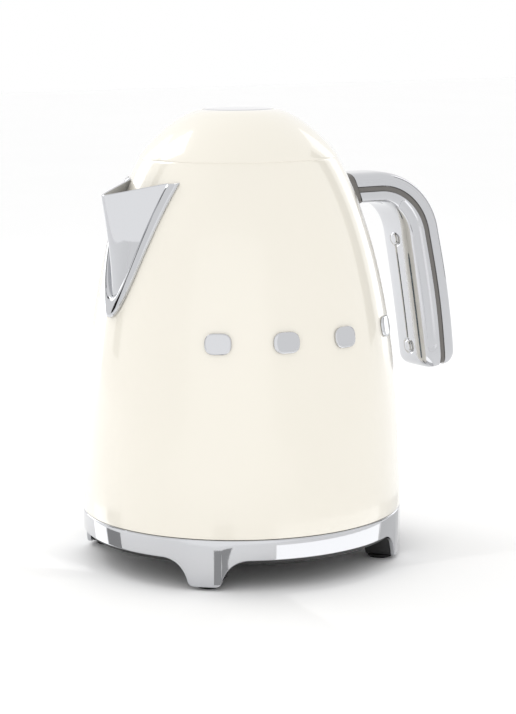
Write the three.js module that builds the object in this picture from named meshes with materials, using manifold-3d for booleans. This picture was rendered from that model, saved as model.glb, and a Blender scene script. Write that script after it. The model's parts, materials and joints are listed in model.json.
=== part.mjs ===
// An electric kettle on its power base: painted steel body under a domed lid, chrome spout and open
// handle, and a chrome ring on four legs. Millimetres, +Z up. The origin is the centre of the
// footprint, on the table. The spout points to -X and the handle to +X.
import * as THREE from "three";
import { mergeVertices } from "three/addons/utils/BufferGeometryUtils.js";
import { ParametricGeometry } from "three/addons/geometries/ParametricGeometry.js";
import Module from "manifold-3d";

// ---- driving dimensions --------------------------------------------------------------------

const GAP = 0.3; // between pieces that touch
const RUN = 0.8; // between pieces that move past each other
const ROUND = 32; // sides of the large rounds
const FINE = 12; // sides of the small rounds

// Painted body: radius at the foot, then a wall that rises straight and bends in at the shoulder.
const BODY_R = 87.2;
const BODY_H = 189.4;
const BODY_WALL = 1.2;
const BODY_RISE = 76.1; // pull of the straight foot
const SHOULDER_DROP = 43.6; // pull of the shoulder, down and out from the mouth
const SHOULDER_OUT = 24.8;
const MOUTH_R = 53.2;
const SEAM = 0.6; // the dark line under the body and under the lid

// Domed lid.
const LID_H = 25.3;
const LID_WALL = 1.6;
const BUTTON_R = 19.6;
const COLLAR_WIDE = 10.2; // from the mouth's edge in to the lid's plug
const PLUG_H = 9;

// Power base.
const PAD_H = 1.9;
const LEG_H = 14.2;
const LEG_FOOT = 8.6; // half width of a leg at the table
const LEG_FLARE = 22.5; // half width where it runs into the ring
const RING_H = 11;
const RING_WALL = 2.2;
const DECK_WALL = 2.5;
const DECK_DROP = 2.2; // deck below the ring's top
const SOCKET_R = 19;
const SOCKET_H = 9; // above the deck
const SOCKET_RIM = 4; // wall outside the socket's ring slot
const SOCKET_SLOT = 6; // width of the ring slot
const SOCKET_HOLE_R = 3.2;
const BLOCK_DEEP = 14; // the block behind each leg
const PAD_R = 6.6;
const DRUM_R = 34; // what the spare cord winds on
const GLAND_R = 4.6;

// Vessel floor and what hangs under it.
const FLOOR_UP = 30; // from the body's foot to the vessel floor
const FLOOR_WALL = 1.5;
const ELEMENT_THICK = 6.4;
const ELEMENT_CLEAR = 5; // between the element and the steam switch
const CONTROL_R = 30;
const STEAM_WIDE = 7; // the steam switch reaches this far inwards from its tube
const TUBE_R = 4;
const TUBE_DOWN = 46; // top of the steam tube below the mouth
const SEAL_WALL = 1.6;
const COVER_SCREW_IN = 25.2; // bottom screws inside the foot's radius

// Spout.
const SPOUT_TOP = 10; // from the mouth down to where its rim meets the body
const SPOUT_TALL = 70.5;
const SPOUT_HALF = 26.8; // half width of its flange at the top
const SPOUT_REACH = 83.6; // its tip, from the axis
const SPOUT_DIP = 6.8; // tip below the rim's inner end
const SPOUT_WALL = 1.6;
const FLANGE = 6.5;
const FLANGE_PROUD = 2.2;

// Handle: a neck that leaves the shoulder level, one bend, and a straight grip with a free end.
const HANDLE_WIDE = 28;
const HANDLE_UP = 20.9; // neck's middle line below the mouth
const NECK_IN = 2.7; // the bend starts this far inside the foot's radius
const BEND_R = 33;
const BEND_TURN = 81; // degrees
const GRIP_LONG = 77;
const OUTER_NECK = 9; // thickness outside the middle line, at the neck and at the grip
const OUTER_GRIP = 10.6;
const INNER_NECK = 8.2;
const INNER_GRIP = 13;
const STRIP = 2.8; // the dark strip between the two chrome shells
const SHELL_WALL = 2.2;
const COLLAR_PROUD = 1.6;
const GRIP_CORNER = 7.5; // rounding of the free end, and of the edges all round
const BEVEL = 5;
const PLUG_BUTTON_R = 3.5;

// Water gauge and switch, both behind, under the handle.
const GAUGE_LOW = 52; // from the body's foot
const GAUGE_TALL = 66;
const GAUGE_HALF = 5;
const GAUGE_IN = 3; // inner face of the window's lip, from the body's outside
const GASKET_IN = 4.8; // inner face of its gasket
const SWITCH_DOWN = 13; // the lever's slot below the vessel floor
const SWITCH_TALL = 22;
const SWITCH_HALF = 5;
const LEVER_OUT = 15; // the lever's knob beyond the body
const KNOB_R = 4.6;

// Plaques on the side: degrees from the spout, and their half width, half height and thickness.
const PLAQUES = [50, 75, 100, 131];
const PLAQUE_UP = 100;
const PLAQUE_HALF = [7, 5.4];
const PLAQUE_THICK = 1.6;

const SCREW_R = 1.6;
const SCREW_HEAD = 3;

// ---- derived heights -----------------------------------------------------------------------

const RING_LOW = PAD_H + LEG_H;
const RING_TOP = RING_LOW + RING_H;
const DECK = RING_TOP - DECK_DROP;
const FOOT = RING_TOP + SEAM; // lower edge of the painted body
const MOUTH = FOOT + BODY_H;
const RING_IN = BODY_R - RING_WALL;
const TRAY_R = RING_IN - GAP;
const COVER_R = RING_IN - RUN; // what hangs into the ring under the kettle
const BLOCK_IN = TRAY_R - BLOCK_DEEP;
const SLOT_OUT = SOCKET_R - SOCKET_RIM;
const SLOT_IN = SLOT_OUT - SOCKET_SLOT;
const FLOOR = FOOT + FLOOR_UP;
const SOCKET_TOP = DECK + SOCKET_H;
const HANDLE_Z = MOUTH - HANDLE_UP;
const NECK_END = BODY_R - NECK_IN;
const PLUG_R = MOUTH_R - COLLAR_WIDE;
const SWITCH_Z = FLOOR - SWITCH_DOWN;
const TUBE_TOP = MOUTH - TUBE_DOWN;

// ---- finishes ------------------------------------------------------------------------------

const finish = (color, roughness, metalness, more = {}) => ({ color, roughness, metalness, ...more });
const CREAM = finish("#efeadc", 0.12, 0);
const CHROME = finish("#d6d8da", 0.06, 1);
const STEEL = finish("#b9bab8", 0.3, 1);
const GREY = finish("#5d5a57", 0.5, 0);
const BLACK = finish("#1e1e1f", 0.55, 0);
const RUBBER = finish("#232323", 0.85, 0);
const SILICONE = finish("#c9c7c1", 0.6, 0);
const BRASS = finish("#b99752", 0.3, 1);
const CLEAR = finish("#dfe8ea", 0.05, 0, { transparent: true, opacity: 0.35 });
const LAMP = finish("#c8703a", 0.2, 0, { transparent: true, opacity: 0.7 });

// ---- solids --------------------------------------------------------------------------------

const wasm = await Module();
wasm.setup();
const X = new THREE.Vector3(1, 0, 0);
const Y = new THREE.Vector3(0, 1, 0);
const Z = new THREE.Vector3(0, 0, 1);
const degrees = THREE.MathUtils.degToRad;
const point = (x, y) => new THREE.Vector2(x, y);

// A closed geometry as a solid that can be joined and cut.
function solid(geometry) {
  const bare = geometry.index ? geometry.toNonIndexed() : geometry.clone();
  bare.deleteAttribute("normal");
  bare.deleteAttribute("uv");
  const merged = mergeVertices(bare, 1e-4);
  const vertProperties = merged.attributes.position.array;
  const triVerts = new Uint32Array(merged.index.array);
  const made = new wasm.Manifold(new wasm.Mesh({ numProp: 3, vertProperties, triVerts }));
  if (made.volume() > 0) return made;
  return new wasm.Manifold(new wasm.Mesh({ numProp: 3, vertProperties, triVerts: triVerts.reverse() }));
}

function geometryOf(made) {
  const { vertProperties, triVerts } = made.getMesh();
  const geometry = new THREE.BufferGeometry();
  geometry.setAttribute("position", new THREE.BufferAttribute(vertProperties, 3));
  geometry.setIndex(new THREE.BufferAttribute(triVerts, 1));
  const flat = geometry.toNonIndexed();
  flat.computeVertexNormals();
  return flat;
}

// A piece turned about Z from an outline of [radius, height]; an outline off the axis closes itself.
function turned(outline, sides = ROUND) {
  const points = outline.map(([r, z]) => point(r, z));
  if (outline[0][0] > 0 || outline.at(-1)[0] > 0) points.push(points[0].clone());
  return solid(new THREE.LatheGeometry(points, sides).rotateX(Math.PI / 2));
}

const disc = (r, low, high, sides = FINE) =>
  turned([[0, low], [r, low], [r, high], [0, high]], sides);
const ring = (inner, outer, low, high, sides = ROUND) =>
  turned([[inner, low], [outer, low], [outer, high], [inner, high]], sides);

// A flat outline pushed through: SIDE outlines are (x, z) and run along y, FRONT ones are (y, z) and
// run along x.
const SIDE = new THREE.Matrix4().makeBasis(X, Z, Y.clone().negate());
const FRONT = new THREE.Matrix4().makeBasis(Y, Z, X);
function pushed(plane, outline, from, to, settings = {}) {
  const drawn = outline instanceof THREE.Shape;
  const shape = drawn ? outline : new THREE.Shape(outline.map(([a, b]) => point(a, b)));
  const bevel = settings.bevelSize ?? 0;
  const geometry = new THREE.ExtrudeGeometry(shape, {
    depth: to - from - 2 * bevel,
    bevelEnabled: bevel > 0,
    bevelThickness: bevel,
    bevelOffset: -bevel,
    curveSegments: 4,
    ...settings,
  });
  const start = plane === SIDE ? -to : from;
  return solid(geometry.translate(0, 0, start + bevel).applyMatrix4(plane));
}

const box = (from, to) =>
  solid(
    new THREE.BoxGeometry(to[0] - from[0], to[1] - from[1], to[2] - from[2]).translate(
      (from[0] + to[0]) / 2,
      (from[1] + to[1]) / 2,
      (from[2] + to[2]) / 2,
    ),
  );

// A rectangle with round corners, centred on (a, b).
function rounded(a, b, halfWide, halfTall, corner) {
  const shape = new THREE.Shape();
  shape.absarc(a + halfWide - corner, b + halfTall - corner, corner, 0, Math.PI / 2);
  shape.absarc(a - halfWide + corner, b + halfTall - corner, corner, Math.PI / 2, Math.PI);
  shape.absarc(a - halfWide + corner, b - halfTall + corner, corner, Math.PI, Math.PI * 1.5);
  shape.absarc(a + halfWide - corner, b - halfTall + corner, corner, Math.PI * 1.5, Math.PI * 2);
  return shape;
}

// A closed solid through level rings of points, flat at both ends.
function lofted(rings) {
  const centre = (points) => {
    const middle = points.reduce((sum, p) => sum.add(p), new THREE.Vector3());
    return points.map(() => middle.clone().divideScalar(points.length));
  };
  const rows = [centre(rings[0]), ...rings, centre(rings.at(-1))];
  const sides = rings[0].length;
  const last = rows.length - 1;
  const at = (u, v, target) => target.copy(rows[Math.round(v * last)][Math.round(u * sides) % sides]);
  return solid(new ParametricGeometry(at, sides, last));
}

const joined = (...pieces) => pieces.reduce((all, next) => all.add(next));
const without = (piece, ...cuts) => cuts.reduce((left, cut) => left.subtract(cut), piece);

// ---- scene ---------------------------------------------------------------------------------

const kettle = new THREE.Group();

function group(parent, position = [0, 0, 0], turn = 0) {
  const made = new THREE.Group();
  made.position.set(...position);
  made.rotation.z = degrees(turn);
  parent.add(made);
  return made;
}

function piece(parent, name, made, look) {
  const mesh = new THREE.Mesh(geometryOf(made), new THREE.MeshStandardMaterial(look));
  mesh.name = name;
  parent.add(mesh);
}

// A countersunk screw that points up, with its head down at z = 0 and a cross cut in it.
function screw(long) {
  const shape = [[0, 0], [SCREW_HEAD, 0], [SCREW_R, SCREW_HEAD - SCREW_R], [SCREW_R, long], [0, long]];
  const cut = joined(box([-2, -0.3, -1], [2, 0.3, 0.6]), box([-0.3, -2, -1], [0.3, 2, 0.6]));
  return without(turned(shape, 12), cut);
}
const screwHole = (from, to) => disc(SCREW_R + GAP, from, to, 12);

// ---- body outline --------------------------------------------------------------------------

const BODY_CURVE = new THREE.CubicBezierCurve(
  point(BODY_R, FOOT),
  point(BODY_R, FOOT + BODY_RISE),
  point(MOUTH_R + SHOULDER_OUT, MOUTH - SHOULDER_DROP),
  point(MOUTH_R, MOUTH),
);
const LID_CURVE = new THREE.CubicBezierCurve(
  point(MOUTH_R, SEAM),
  point(MOUTH_R - 5.2, LID_H * 0.36),
  point(BUTTON_R + 11, LID_H - 0.6),
  point(BUTTON_R, LID_H),
);

// Points of a curve moved outwards by a distance, as [radius, height].
function offset(curve, distance, steps = curve === LID_CURVE ? 5 : 8) {
  const at = Array.from({ length: steps + 1 }, (_, i) => i / steps);
  return at.map((t) => {
    const p = curve.getPoint(t);
    const along = curve.getTangent(t);
    return [p.x + along.y * distance, p.y - along.x * distance];
  });
}

// The wall between two offsets of a curve, and everything inside one offset.
const skin = (curve, inner, outer) =>
  turned([...offset(curve, outer), ...offset(curve, inner).reverse()]);
function inside(curve, distance) {
  const edge = offset(curve, distance);
  return turned([[0, edge[0][1]], ...edge, [0, edge.at(-1)[1]]]);
}

// Radius at a height of the body, or of another curve, or of a surface some distance outside it.
function radiusAt(z, distance = 0, curve = BODY_CURVE) {
  const edge = offset(curve, distance);
  const above = edge.findIndex(([, height]) => height >= z);
  const next = above < 1 ? (above ? edge.length - 1 : 1) : above;
  const [[r0, z0], [r1, z1]] = [edge[next - 1], edge[next]];
  return r0 + ((r1 - r0) * (z - z0)) / (z1 - z0);
}

// ---- power base ----------------------------------------------------------------------------

const base = group(kettle);
const LEGS = [45, 135, 225, 315];
const about = (made, turns) => joined(...turns.map((turn) => made.rotate([0, 0, turn])));

// Half outline of a leg: round corners at the table, then a hollow flare up into the ring.
function legShape(inset) {
  const low = PAD_H + inset / 2;
  const foot = LEG_FOOT - inset;
  const flare = LEG_FLARE - inset;
  const corner = 3;
  const shape = new THREE.Shape();
  shape.moveTo(-foot + corner, low);
  shape.lineTo(foot - corner, low);
  shape.quadraticCurveTo(foot, low, foot + 0.6, low + corner);
  shape.quadraticCurveTo(foot + 4, RING_LOW - 1, flare, RING_LOW + 0.2);
  shape.lineTo(flare, RING_TOP);
  shape.lineTo(-flare, RING_TOP);
  shape.lineTo(-flare, RING_LOW + 0.2);
  shape.quadraticCurveTo(-foot - 4, RING_LOW - 1, -foot - 0.6, low + corner);
  shape.quadraticCurveTo(-foot, low, -foot + corner, low);
  return shape;
}

function baseRing() {
  const edge = 0.8;
  const wall = turned([
    [RING_IN, PAD_H], [BODY_R, PAD_H], [BODY_R, RING_TOP - edge],
    [BODY_R - edge, RING_TOP], [RING_IN, RING_TOP],
  ]);
  const leg = pushed(FRONT, legShape(0), RING_IN - 8, BODY_R + 5);
  const band = ring(RING_IN - 2, BODY_R + 2, RING_LOW, RING_TOP + 1);
  return wall.intersect(joined(band, about(leg, LEGS)));
}

const PAD_AT = TRAY_R - BLOCK_DEEP / 2 - 0.5;
const GLAND_FLANGE = 1.6; // how far its flanges stand out, and their thickness
const GLAND_X = TRAY_R - 8; // inner face of the cord's grommet
const GLAND_Z = PAD_H + GLAND_R + 1.1;
const OUTLET_DEEP = 3.4; // wall that the grommet sits in
const SOCKET_FLANGE = 4;
const acrossX = (r, from, to, y, z, sides = FINE) =>
  disc(r, from, to, sides).rotate([0, 90, 0]).translate([0, y, z]);

// Dark moulding inside the ring: the deck, its wall, and a block behind each leg.
function baseTray() {
  const wall = 2.4;
  const low = RING_LOW - 2;
  const deck = turned([
    [SOCKET_R + GAP, DECK - DECK_WALL], [TRAY_R - wall, DECK - DECK_WALL], [TRAY_R - wall, low],
    [TRAY_R, low], [TRAY_R, DECK], [SOCKET_R + GAP, DECK],
  ]);
  const block = pushed(FRONT, legShape(0.8), BLOCK_IN, TRAY_R + 5);
  const blocks = about(block, LEGS).intersect(ring(BLOCK_IN, TRAY_R, PAD_H + GAP, DECK - 1));
  const [back, front] = [GLAND_X + GLAND_FLANGE + GAP, GLAND_X + GLAND_FLANGE + OUTLET_DEEP - GAP];
  const outlet = box([back, -9, PAD_H + 0.6], [front, 9, DECK - 1]);
  const hole = acrossX(GLAND_R + GAP, GLAND_X - 5, BODY_R, 0, GLAND_Z);
  const recess = acrossX(GLAND_R + GLAND_FLANGE + GAP, front, BODY_R, 0, GLAND_Z);
  return without(joined(deck, blocks, outlet), hole, recess);
}

// Plate that closes the underside, with a drum that the spare cord winds on.
function baseCover() {
  const r = BLOCK_IN - GAP;
  const top = DECK - DECK_WALL - SOCKET_FLANGE;
  const wall = 2.4;
  const plateTop = top - 3;
  const plateLow = plateTop - wall;
  const lip = PAD_H + 3.5;
  const low = PAD_H + 2;
  const drum = turned([
    [0, plateTop], [DRUM_R, plateTop], [DRUM_R, lip], [DRUM_R + 6, lip], [DRUM_R + 6, low],
    [DRUM_R - wall, low], [DRUM_R - wall, plateLow], [0, plateLow],
  ]);
  return joined(drum, ring(DRUM_R - 1, r, plateLow, plateTop));
}

// Round boss of the cordless connector, with a ring slot and a centre hole.
const CENTRE_DOWN = 3; // the socket's middle below its rim
function socketHousing() {
  const low = DECK - DECK_WALL - SOCKET_FLANGE;
  return turned([
    [SOCKET_HOLE_R, low], [SOCKET_R + 8, low], [SOCKET_R + 8, DECK - DECK_WALL - GAP],
    [SOCKET_R, DECK - DECK_WALL - GAP], [SOCKET_R, SOCKET_TOP - 1], [SOCKET_R - 1, SOCKET_TOP],
    [SLOT_OUT, SOCKET_TOP], [SLOT_OUT, DECK], [SLOT_IN, DECK], [SLOT_IN, SOCKET_TOP - CENTRE_DOWN],
    [SOCKET_HOLE_R, SOCKET_TOP - CENTRE_DOWN],
  ], 24);
}

piece(base, "base_ring", baseRing(), CHROME);
piece(base, "base_tray", baseTray(), BLACK);
piece(base, "base_underside_cover", baseCover(), BLACK);
piece(base, "socket_housing", socketHousing(), BLACK);
piece(base, "socket_contact_ring", ring(SLOT_IN + GAP, SLOT_IN + 1.5, DECK + GAP, DECK + 3, 24), BRASS);
piece(base, "socket_centre_contact", ring(SOCKET_HOLE_R / 2, SOCKET_HOLE_R - GAP, DECK - 4, DECK + 4), BRASS);

// Floating ring in the socket's slot that closes it, carries the kettle's plug and turns with it.
const SHUTTER_IN = SLOT_IN + 1.5 + RUN;
const SHUTTER_OUT = SLOT_OUT - RUN;
const SHUTTER_TOP = DECK + 2;
piece(group(kettle), "socket_shutter", ring(SHUTTER_IN, SHUTTER_OUT, DECK + GAP, SHUTTER_TOP, 24), SILICONE);

// Rubber pad under each leg's block.
const pad = turned([[0, 0], [PAD_R - 0.6, 0], [PAD_R, 0.6], [PAD_R, PAD_H], [0, PAD_H]], 16);
LEGS.forEach((turn, i) => {
  const leg = group(base, [0, 0, 0], turn);
  piece(group(leg, [PAD_AT, 0, 0]), `foot_pad_${i + 1}`, pad, RUBBER);
});

// Grommet where the supply cord comes in, under the ring on the handle side.
function cordGland() {
  const bore = GLAND_R - 1.3;
  const flange = GLAND_R + GLAND_FLANGE;
  const out = GLAND_FLANGE + OUTLET_DEEP;
  const sleeve = turned([
    [bore, 0], [flange, 0], [flange, GLAND_FLANGE], [GLAND_R, GLAND_FLANGE], [GLAND_R, out],
    [flange - 0.2, out], [flange - 0.2, out + 2], [bore, out + 2],
  ], FINE);
  return sleeve.rotate([0, 90, 0]).translate([GLAND_X, 0, GLAND_Z]);
}
piece(base, "cord_gland", cordGland(), RUBBER);

// ---- kettle body ---------------------------------------------------------------------------

const vessel = group(kettle);
const RIM_Z = MOUTH - SPOUT_TOP; // inner end of the spout's rim
const V_LOW = RIM_Z - SPOUT_TALL;

// The spout's V from the front: half width grows with the square root of the height.
function spoutV(inset) {
  const low = V_LOW + inset * 1.7;
  const widest = SPOUT_HALF - inset;
  const steps = 6;
  const side = Array.from({ length: steps + 1 }, (_, i) => {
    const share = (i / steps) ** 2;
    return [widest * Math.sqrt(share), low + share * (RIM_Z - low)];
  });
  side.push([widest + 4, MOUTH + 20]);
  return [...side, ...side.slice(1).reverse().map(([y, z]) => [-y, z])];
}

const HINGE_HALF = 8;
const HINGE_ARM = HINGE_HALF / 2; // half width of the lid's arm, between the bracket's ears
const HINGE_R = 2.6;
const HINGE_PIN_R = 1.2;
const HINGE_X = MOUTH_R + 1.6;
const HINGE_Z = MOUTH + SEAM / 2;
const BRACKET_IN = PLUG_R + RUN + 3;
const GAUGE_MIDDLE = FOOT + GAUGE_LOW + GAUGE_TALL / 2;
const WINDOW_TOP = RIM_Z - 9; // top of the pouring opening in the wall
const FILTER_HALF = SPOUT_HALF - FLANGE;
const SCREW_SPREAD = 7;
const SCREW_HEAD_H = 2;
// Handle screws: their heads meet the inside of the wall.
const SCREW_X = Math.sqrt(
  radiusAt(HANDLE_Z + SCREW_HEAD, -BODY_WALL - GAP) ** 2 - (SCREW_SPREAD + SCREW_HEAD) ** 2,
) - SCREW_HEAD_H;
const handleHoles = () =>
  [-1, 1].map((side) => acrossX(SCREW_R + GAP, SCREW_X - 10, SCREW_X + 30, side * SCREW_SPREAD, HANDLE_Z));

const gaugeHole = (grow, from = 30) =>
  pushed(FRONT, rounded(0, GAUGE_MIDDLE, GAUGE_HALF + grow, GAUGE_TALL / 2 + grow, GAUGE_HALF + grow - 0.1),
    from, BODY_R + 10);
const switchHole = (grow) =>
  pushed(FRONT, rounded(0, SWITCH_Z, SWITCH_HALF + grow, SWITCH_TALL / 2 + grow, 2 + grow),
    30, BODY_R + 10);

function bodyShell() {
  const pouring = pushed(FRONT, spoutV(FLANGE + 1.5), -BODY_R - 10, -20)
    .intersect(box([-BODY_R - 10, -30, V_LOW], [-20, 30, WINDOW_TOP]));
  const notch = box([BRACKET_IN, -HINGE_HALF - GAP, MOUTH - 4.5], [BODY_R, HINGE_HALF + GAP, MOUTH + 5]);
  return without(
    skin(BODY_CURVE, -BODY_WALL, 0), pouring, notch, gaugeHole(GAP), switchHole(0), ...handleHoles(),
  );
}
piece(vessel, "body_shell", bodyShell(), CREAM);

// Inner collar that carries the lid: a seat inside the mouth with a tube round the lid's plug.
function mouthCollar() {
  const inner = PLUG_R + RUN;
  const [low, top] = [MOUTH - PLUG_H - 5, MOUTH - 1.2];
  const [lowR, topR] = [low, top].map((z) => radiusAt(z, -BODY_WALL - GAP));
  const made = turned([
    [inner, MOUTH - PLUG_H - 3], [inner + 2, MOUTH - PLUG_H - 3], [inner + 2, MOUTH - 4],
    [topR - 1, MOUTH - 4], [lowR - 2, low], [lowR, low], [topR, top], [inner, top],
  ]);
  const seat = box([BRACKET_IN - GAP, -HINGE_HALF - GAP, MOUTH - 8.5], [BODY_R, HINGE_HALF + GAP, MOUTH + 1]);
  const keeper = box([-inner - 1.4, -4 - GAP, MOUTH - 6.5], [-inner + 1, 4 + GAP, MOUTH - 2.5]);
  return without(made, seat, keeper);
}
piece(vessel, "mouth_collar", mouthCollar(), GREY);

const alongY = (r, from, to, x, z, sides = FINE) =>
  disc(r, from, to, sides).rotate([-90, 0, 0]).translate([x, 0, z]);

function hingeBracket() {
  const block = box([BRACKET_IN, -HINGE_HALF, MOUTH - 8], [HINGE_X, HINGE_HALF, MOUTH - 2.6])
    .intersect(inside(BODY_CURVE, -BODY_WALL - GAP));
  const ears = [-1, 1].map((side) => {
    const [from, to] = [(HINGE_ARM + 0.5) * side, HINGE_HALF * side].sort((a, b) => a - b);
    const ear = box([HINGE_X - 6, from, MOUTH - 4.2], [HINGE_X + 1, to, HINGE_Z]);
    return joined(ear, alongY(HINGE_R, from, to, HINGE_X, HINGE_Z));
  });
  return without(joined(block, ...ears), alongY(HINGE_PIN_R + GAP, -20, 20, HINGE_X, HINGE_Z));
}
piece(vessel, "lid_hinge_bracket", hingeBracket(), CHROME);
const PIN_HALF = HINGE_HALF + 0.4;
piece(vessel, "lid_hinge_pin", alongY(HINGE_PIN_R, -PIN_HALF, PIN_HALF, HINGE_X, HINGE_Z), STEEL);

// ---- spout ---------------------------------------------------------------------------------

// Ridge of the beak, seen from the side: nearly upright, then flicking out to the tip.
const TIP_Z = RIM_Z - SPOUT_DIP;
const RIDGE_FOOT = 0.8 - radiusAt(V_LOW);
const RIDGE = new THREE.CubicBezierCurve(
  point(RIDGE_FOOT, V_LOW + 0.3),
  point(RIDGE_FOOT + 1.3, V_LOW + 21),
  point(-SPOUT_REACH + 3.6, TIP_Z - 22),
  point(-SPOUT_REACH, TIP_Z),
);

// Level outlines of the beak: a round nose on the ridge and straight sides that run back inside the
// body. The wall is their inset copy cut away.
function beak(inset) {
  const nose = 2.4;
  const extra = 6; // above the tip, cut off by the rim
  const steps = 7;
  const outline = (x, z) => {
    const share = Math.min(1, Math.max(0, (z - V_LOW) / SPOUT_TALL));
    const half = Math.max(0.3, (SPOUT_HALF - FLANGE + 2.2) * Math.sqrt(share) - inset);
    const back = -Math.sqrt(radiusAt(Math.min(z, MOUTH - 1)) ** 2 - half ** 2) + 1;
    const r = Math.min(nose, half * 0.8);
    const front = x + inset;
    const round = [-70, -35, 0, 35, 70].map((turn) => {
      const a = degrees(turn);
      return new THREE.Vector3(front + r * (1 - Math.cos(a)), -r * Math.sin(a), z);
    });
    return [...round, new THREE.Vector3(back, -half, z), new THREE.Vector3(back + 25, -half, z),
      new THREE.Vector3(back + 25, half, z), new THREE.Vector3(back, half, z)];
  };
  const rings = Array.from({ length: steps + 1 }, (_, i) => {
    const p = RIDGE.getPoint(i / steps);
    return outline(p.x, p.y);
  });
  rings.push(outline(-SPOUT_REACH - 1.5, TIP_Z + extra));
  rings.push(outline(-SPOUT_REACH - 2.5, RIM_Z + 8));
  return lofted(rings);
}

function spout() {
  const rimIn = Math.sqrt(radiusAt(RIM_Z) ** 2 - SPOUT_HALF ** 2);
  const slope = SPOUT_DIP / (SPOUT_REACH - rimIn);
  const rim = pushed(SIDE, [
    [-SPOUT_REACH - 20, TIP_Z - 20 * slope], [-20, TIP_Z + (SPOUT_REACH - 20) * slope],
    [-20, MOUTH + 40], [-SPOUT_REACH - 20, MOUTH + 40],
  ], -60, 60);
  const flange = skin(BODY_CURVE, GAP, FLANGE_PROUD)
    .intersect(pushed(FRONT, spoutV(0), -BODY_R - 10, -20))
    .subtract(pushed(FRONT, spoutV(FLANGE), -BODY_R - 10, -20));
  const wall = without(beak(0), beak(SPOUT_WALL), inside(BODY_CURVE, GAP));
  return joined(flange, wall).subtract(rim);
}
piece(vessel, "spout", spout(), CHROME);

// Scale filter behind the pouring opening: a frame round a fine steel screen, inside the wall.
const filter = group(kettle);
const filterZone = (grow) => {
  const middle = (WINDOW_TOP + V_LOW + 12) / 2;
  const tall = (WINDOW_TOP - V_LOW - 12) / 2;
  return pushed(FRONT, rounded(0, middle, FILTER_HALF + grow, tall + grow, 4 + grow), -BODY_R - 10, -20);
};
const FILTER_AT = -BODY_WALL - GAP;
piece(filter, "filter_frame", skin(BODY_CURVE, FILTER_AT - 3, FILTER_AT)
  .intersect(filterZone(0)).subtract(filterZone(-3)), GREY);
piece(filter, "filter_screen", skin(BODY_CURVE, FILTER_AT - 1.8, FILTER_AT - 0.8)
  .intersect(filterZone(-3 - GAP)), STEEL);

// ---- handle --------------------------------------------------------------------------------

// The handle's middle line from the side, as points with the outward normal and how far round the
// bend they are.
function handleLine(long) {
  const line = [{ x: 40, z: HANDLE_Z, turn: 0 }, { x: NECK_END, z: HANDLE_Z, turn: 0 }];
  const steps = 7;
  for (let i = 1; i <= steps; i++) {
    const turn = (BEND_TURN * i) / steps;
    const a = degrees(turn);
    line.push({ x: NECK_END + BEND_R * Math.sin(a), z: HANDLE_Z - BEND_R * (1 - Math.cos(a)), turn });
  }
  const a = degrees(BEND_TURN);
  const bend = line.at(-1);
  line.push({ x: bend.x + long * Math.cos(a), z: bend.z - long * Math.sin(a), turn: BEND_TURN });
  return line.map((p) => ({ ...p, nx: Math.sin(degrees(p.turn)), nz: Math.cos(degrees(p.turn)) }));
}

// The band between two distances from the middle line, each given at the neck and at the grip.
function handleBand(outer, inner, long = GRIP_LONG, corner = 0.01) {
  const line = handleLine(long);
  const edge = ([neck, grip]) =>
    line.map((p) => {
      const away = neck + (grip - neck) * THREE.MathUtils.smoothstep(p.turn, 0, BEND_TURN);
      return point(p.x + p.nx * away, p.z + p.nz * away);
    });
  const top = edge(outer);
  const low = edge(inner);
  const back = (from, to) => to.clone().add(from.clone().sub(to).setLength(corner));
  const shape = new THREE.Shape();
  shape.setFromPoints(top.slice(0, -1));
  const [topEnd, lowEnd] = [top.at(-1), low.at(-1)];
  const curve = (end, next) => shape.quadraticCurveTo(end.x, end.y, next.x, next.y);
  const a = back(top.at(-2), topEnd);
  shape.lineTo(a.x, a.y);
  curve(topEnd, back(lowEnd, topEnd));
  const b = back(topEnd, lowEnd);
  shape.lineTo(b.x, b.y);
  curve(lowEnd, back(low.at(-2), lowEnd));
  low.slice(0, -1).reverse().forEach((p) => shape.lineTo(p.x, p.y));
  return new THREE.Shape(shape.getPoints(3));
}

const HALF = HANDLE_WIDE / 2;
function handleForm(inset, bevel) {
  const outer = [OUTER_NECK - inset, OUTER_GRIP - inset];
  const inner = [-INNER_NECK + inset, -INNER_GRIP + inset];
  const outline = handleBand(outer, inner, GRIP_LONG - inset, GRIP_CORNER - inset);
  return pushed(SIDE, outline, -HALF + inset, HALF - inset, { bevelSize: bevel, bevelSegments: 2 });
}
const zone = (outer, inner) => pushed(SIDE, handleBand(outer, inner, GRIP_LONG + 30), -40, 40);

// Centre of a cap on the grip's inner face, and that face turned level.
const capAt = (share) => {
  const [start, end] = handleLine(GRIP_LONG).slice(-2);
  return [
    start.x + (end.x - start.x) * share - start.nx * INNER_GRIP,
    0,
    start.z + (end.z - start.z) * share - start.nz * INNER_GRIP,
  ];
};
const CAPS = [0.005, 0.83];
const capPart = (share, r, from, to) =>
  disc(r, from, to).rotate([0, BEND_TURN, 0]).translate(capAt(share));

const STRIP_SIDE = STRIP / 2;
const SOCKET_SKIN = 5; // thickness of the flared collar at the body
const full = handleForm(0, BEVEL);
const shells = without(full, handleForm(SHELL_WALL, BEVEL - 1.4), inside(BODY_CURVE, SOCKET_SKIN + GAP));
const capHoles = CAPS.map((share) => capPart(share, PLUG_BUTTON_R + GAP, -5, 5));
piece(vessel, "handle_outer_shell", shells.intersect(zone([40, 40], [STRIP_SIDE, STRIP_SIDE])), CHROME);
piece(vessel, "handle_inner_shell", without(
  shells.intersect(zone([-STRIP_SIDE, -STRIP_SIDE], [-30, -30])), ...capHoles), CHROME);

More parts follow.
